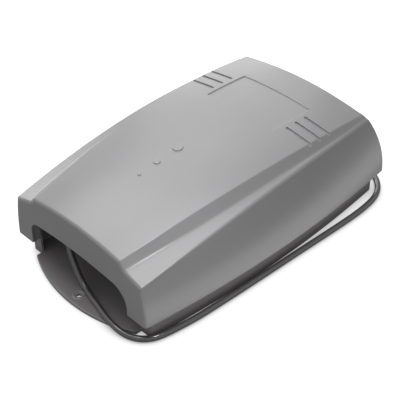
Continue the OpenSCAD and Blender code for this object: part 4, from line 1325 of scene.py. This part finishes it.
def make_lights():
    """An even sky and soft lamps from above and the left, with a faint bounce along the right side."""
    world = bpy.data.worlds.new("studio")
    bpy.context.scene.world = world
    world.use_nodes = True
    n = Nodes(world.node_tree)
    sky = world.node_tree.nodes["Background"]
    sky.inputs["Color"].default_value = (1, 1, 1, 1)
    path = n.add("ShaderNodeLightPath")
    seen = n.maths("MULTIPLY_ADD", path.outputs["Is Camera Ray"], FLOOR_SEEN - WORLD, WORLD)
    n.link(seen, sky.inputs["Strength"])
    middle = (0, 0, 0.05)
    softbox("top", (-0.15, 0.1, 1.55), middle, (0.6, 0.6), 2.6)
    softbox("near_right", (0.155, -0.13, 0.27), (0.09, -0.17, 0.08), (0.05, 0.05), 0.12)
    softbox("near_top", (-0.05, -0.35, 1.5), middle, (0.5, 0.5), 2.5)
    softbox("back_left", (-0.68, 0.32, 1.35), middle, (0.9, 0.9), 2)
    softbox("back_far", (-0.87, 0.87, 0.91), middle, (0.9, 0.9), 2.8)
    softbox("back_low", (-1.09, 0.98, 0.36), middle, (0.6, 0.3), 1.2)
    softbox("left", (-0.86, 0, 1.28), middle, (0.7, 0.7), 2.3)
    softbox("left_low", (-1.4, 0.3, 0.4), middle, (0.6, 0.4), 2.2)
    softbox("bounce_right", (0.15, 0, 0.003), (0.145, 0, 1), (0.7, 0.05), 0.09)
    bpy.context.scene.view_settings.view_transform = "Standard"


# ---------------------------------------------------------------- the whole

def build():
    """Camera, cord and its pieces, then the unit from the outside in, then the stage."""
    make_camera()
    cord, length = make_cord()
    plug = finish_piece(make_plug(), "plug_plastic", ["cord_plug"])
    sockets = finish_piece(dressed("plug_sockets", "plug_contacts", 0.15), "tab_metal", ["plug_sockets"])
    tie = finish_piece(make_tie(), "tie_nylon", ["cord_tie"])
    finish_piece(cord, "cord_sheath", ["cord", "cord_hank"])

    finish_piece(make_cover(), "cover_plastic", ["front_cover"], "cover")
    finish_piece(make_tray(), "tray_plastic", ["back_plate", "tray_wall", "tray_posts"])
    # partly painted shade: the bulkhead is made black so that the bay seen through the cord opening reads
    # near-black
    finish_piece(make_bulkhead(), "black_plastic", ["bulkhead"])
    finish_piece(make_boot(), "boot_rubber", ["cord_boot"])

    finish_piece(make_battery(-1), "battery_case", ["battery_left"])
    finish_piece(make_battery(1), "battery_case", ["battery_right"])
    finish_piece(dressed("battery_pads", "foam_pads", 0.5), "foam", ["battery_pads"])
    finish_piece(dressed("battery_strap", "hold_down_strap", 0.35), "strap_steel", ["battery_strap"])
    finish_piece(dressed("strap_screws", "strap_screw_heads", 0.25), "screw_steel", ["strap_screws"])
    finish_piece(header_lead(1, "positive_wire"), "red_insulation", ["positive_lead"])
    finish_piece(header_lead(-1, "negative_wire"), "black_insulation", ["negative_lead"])
    finish_piece(link_lead(), "red_insulation", ["link_lead"])
    finish_piece(feed_wires(), "black_insulation", ["feed_cores"])

    finish_piece(dressed("charger_board", "circuit_board", 0.15), "board_laminate", ["charger_board"])
    finish_piece(dressed("board_screws", "board_screw_heads", 0.2), "screw_steel", ["board_screws"])
    body, winding = make_choke()
    finish_piece(body, "black_plastic", ["choke"])
    finish_piece(winding, "copper_winding", ["choke"])
    finish_piece(dressed("relays", "relay_cases", 0.5), "relay_plastic", ["relays"])
    for k, place in enumerate([(-4, 32, 9, 27), (-4, 54, 8, 22), (14, 50, 6.5, 18)]):
        sleeve, top = make_capacitor(k, *place)
        finish_piece(sleeve, "capacitor_sleeve", ["capacitors"])
        finish_piece(top, "sink_aluminium")
    finish_piece(dressed("heat_sink", "cooling_fins", 0.25), "sink_aluminium", ["heat_sink"])
    for k, x in enumerate((30, 54)):
        body, tab = make_transistor(k, x)
        finish_piece(body, "chip_plastic", ["power_transistors"])
        finish_piece(tab, "tab_metal", ["power_transistors"])
    finish_piece(dressed("terminal_block", "terminal_housing", 0.35), "terminal_plastic",
                 ["terminal_block"])
    finish_piece(make_terminal_screws(), "screw_steel")
    finish_piece(dressed("fuse_clips", "fuse_clip_springs", 0.2), "tab_metal", ["fuse_clips"])
    tube_glass, fuse_metal = make_fuse()
    finish_piece(tube_glass, "fuse_glass", ["fuse_tube"])
    finish_piece(fuse_metal, "tab_metal", ["fuse_caps"])
    finish_piece(dressed("battery_header", "header_shell", 0.3), "header_plastic", ["battery_header"])
    chip, pins = make_chip()
    finish_piece(chip, "chip_plastic", ["controller_chip"])
    finish_piece(pins, "tab_metal", ["controller_chip"])
    finish_piece(make_led(), "led_lens", ["status_led"])
    for piece, slot in zip(make_board_details(), ("chip_plastic", "screw_steel", "board_laminate")):
        finish_piece(piece, slot)
    dress_nodes()

    make_floor()
    make_lights()


MATERIALS = make_materials()
build()
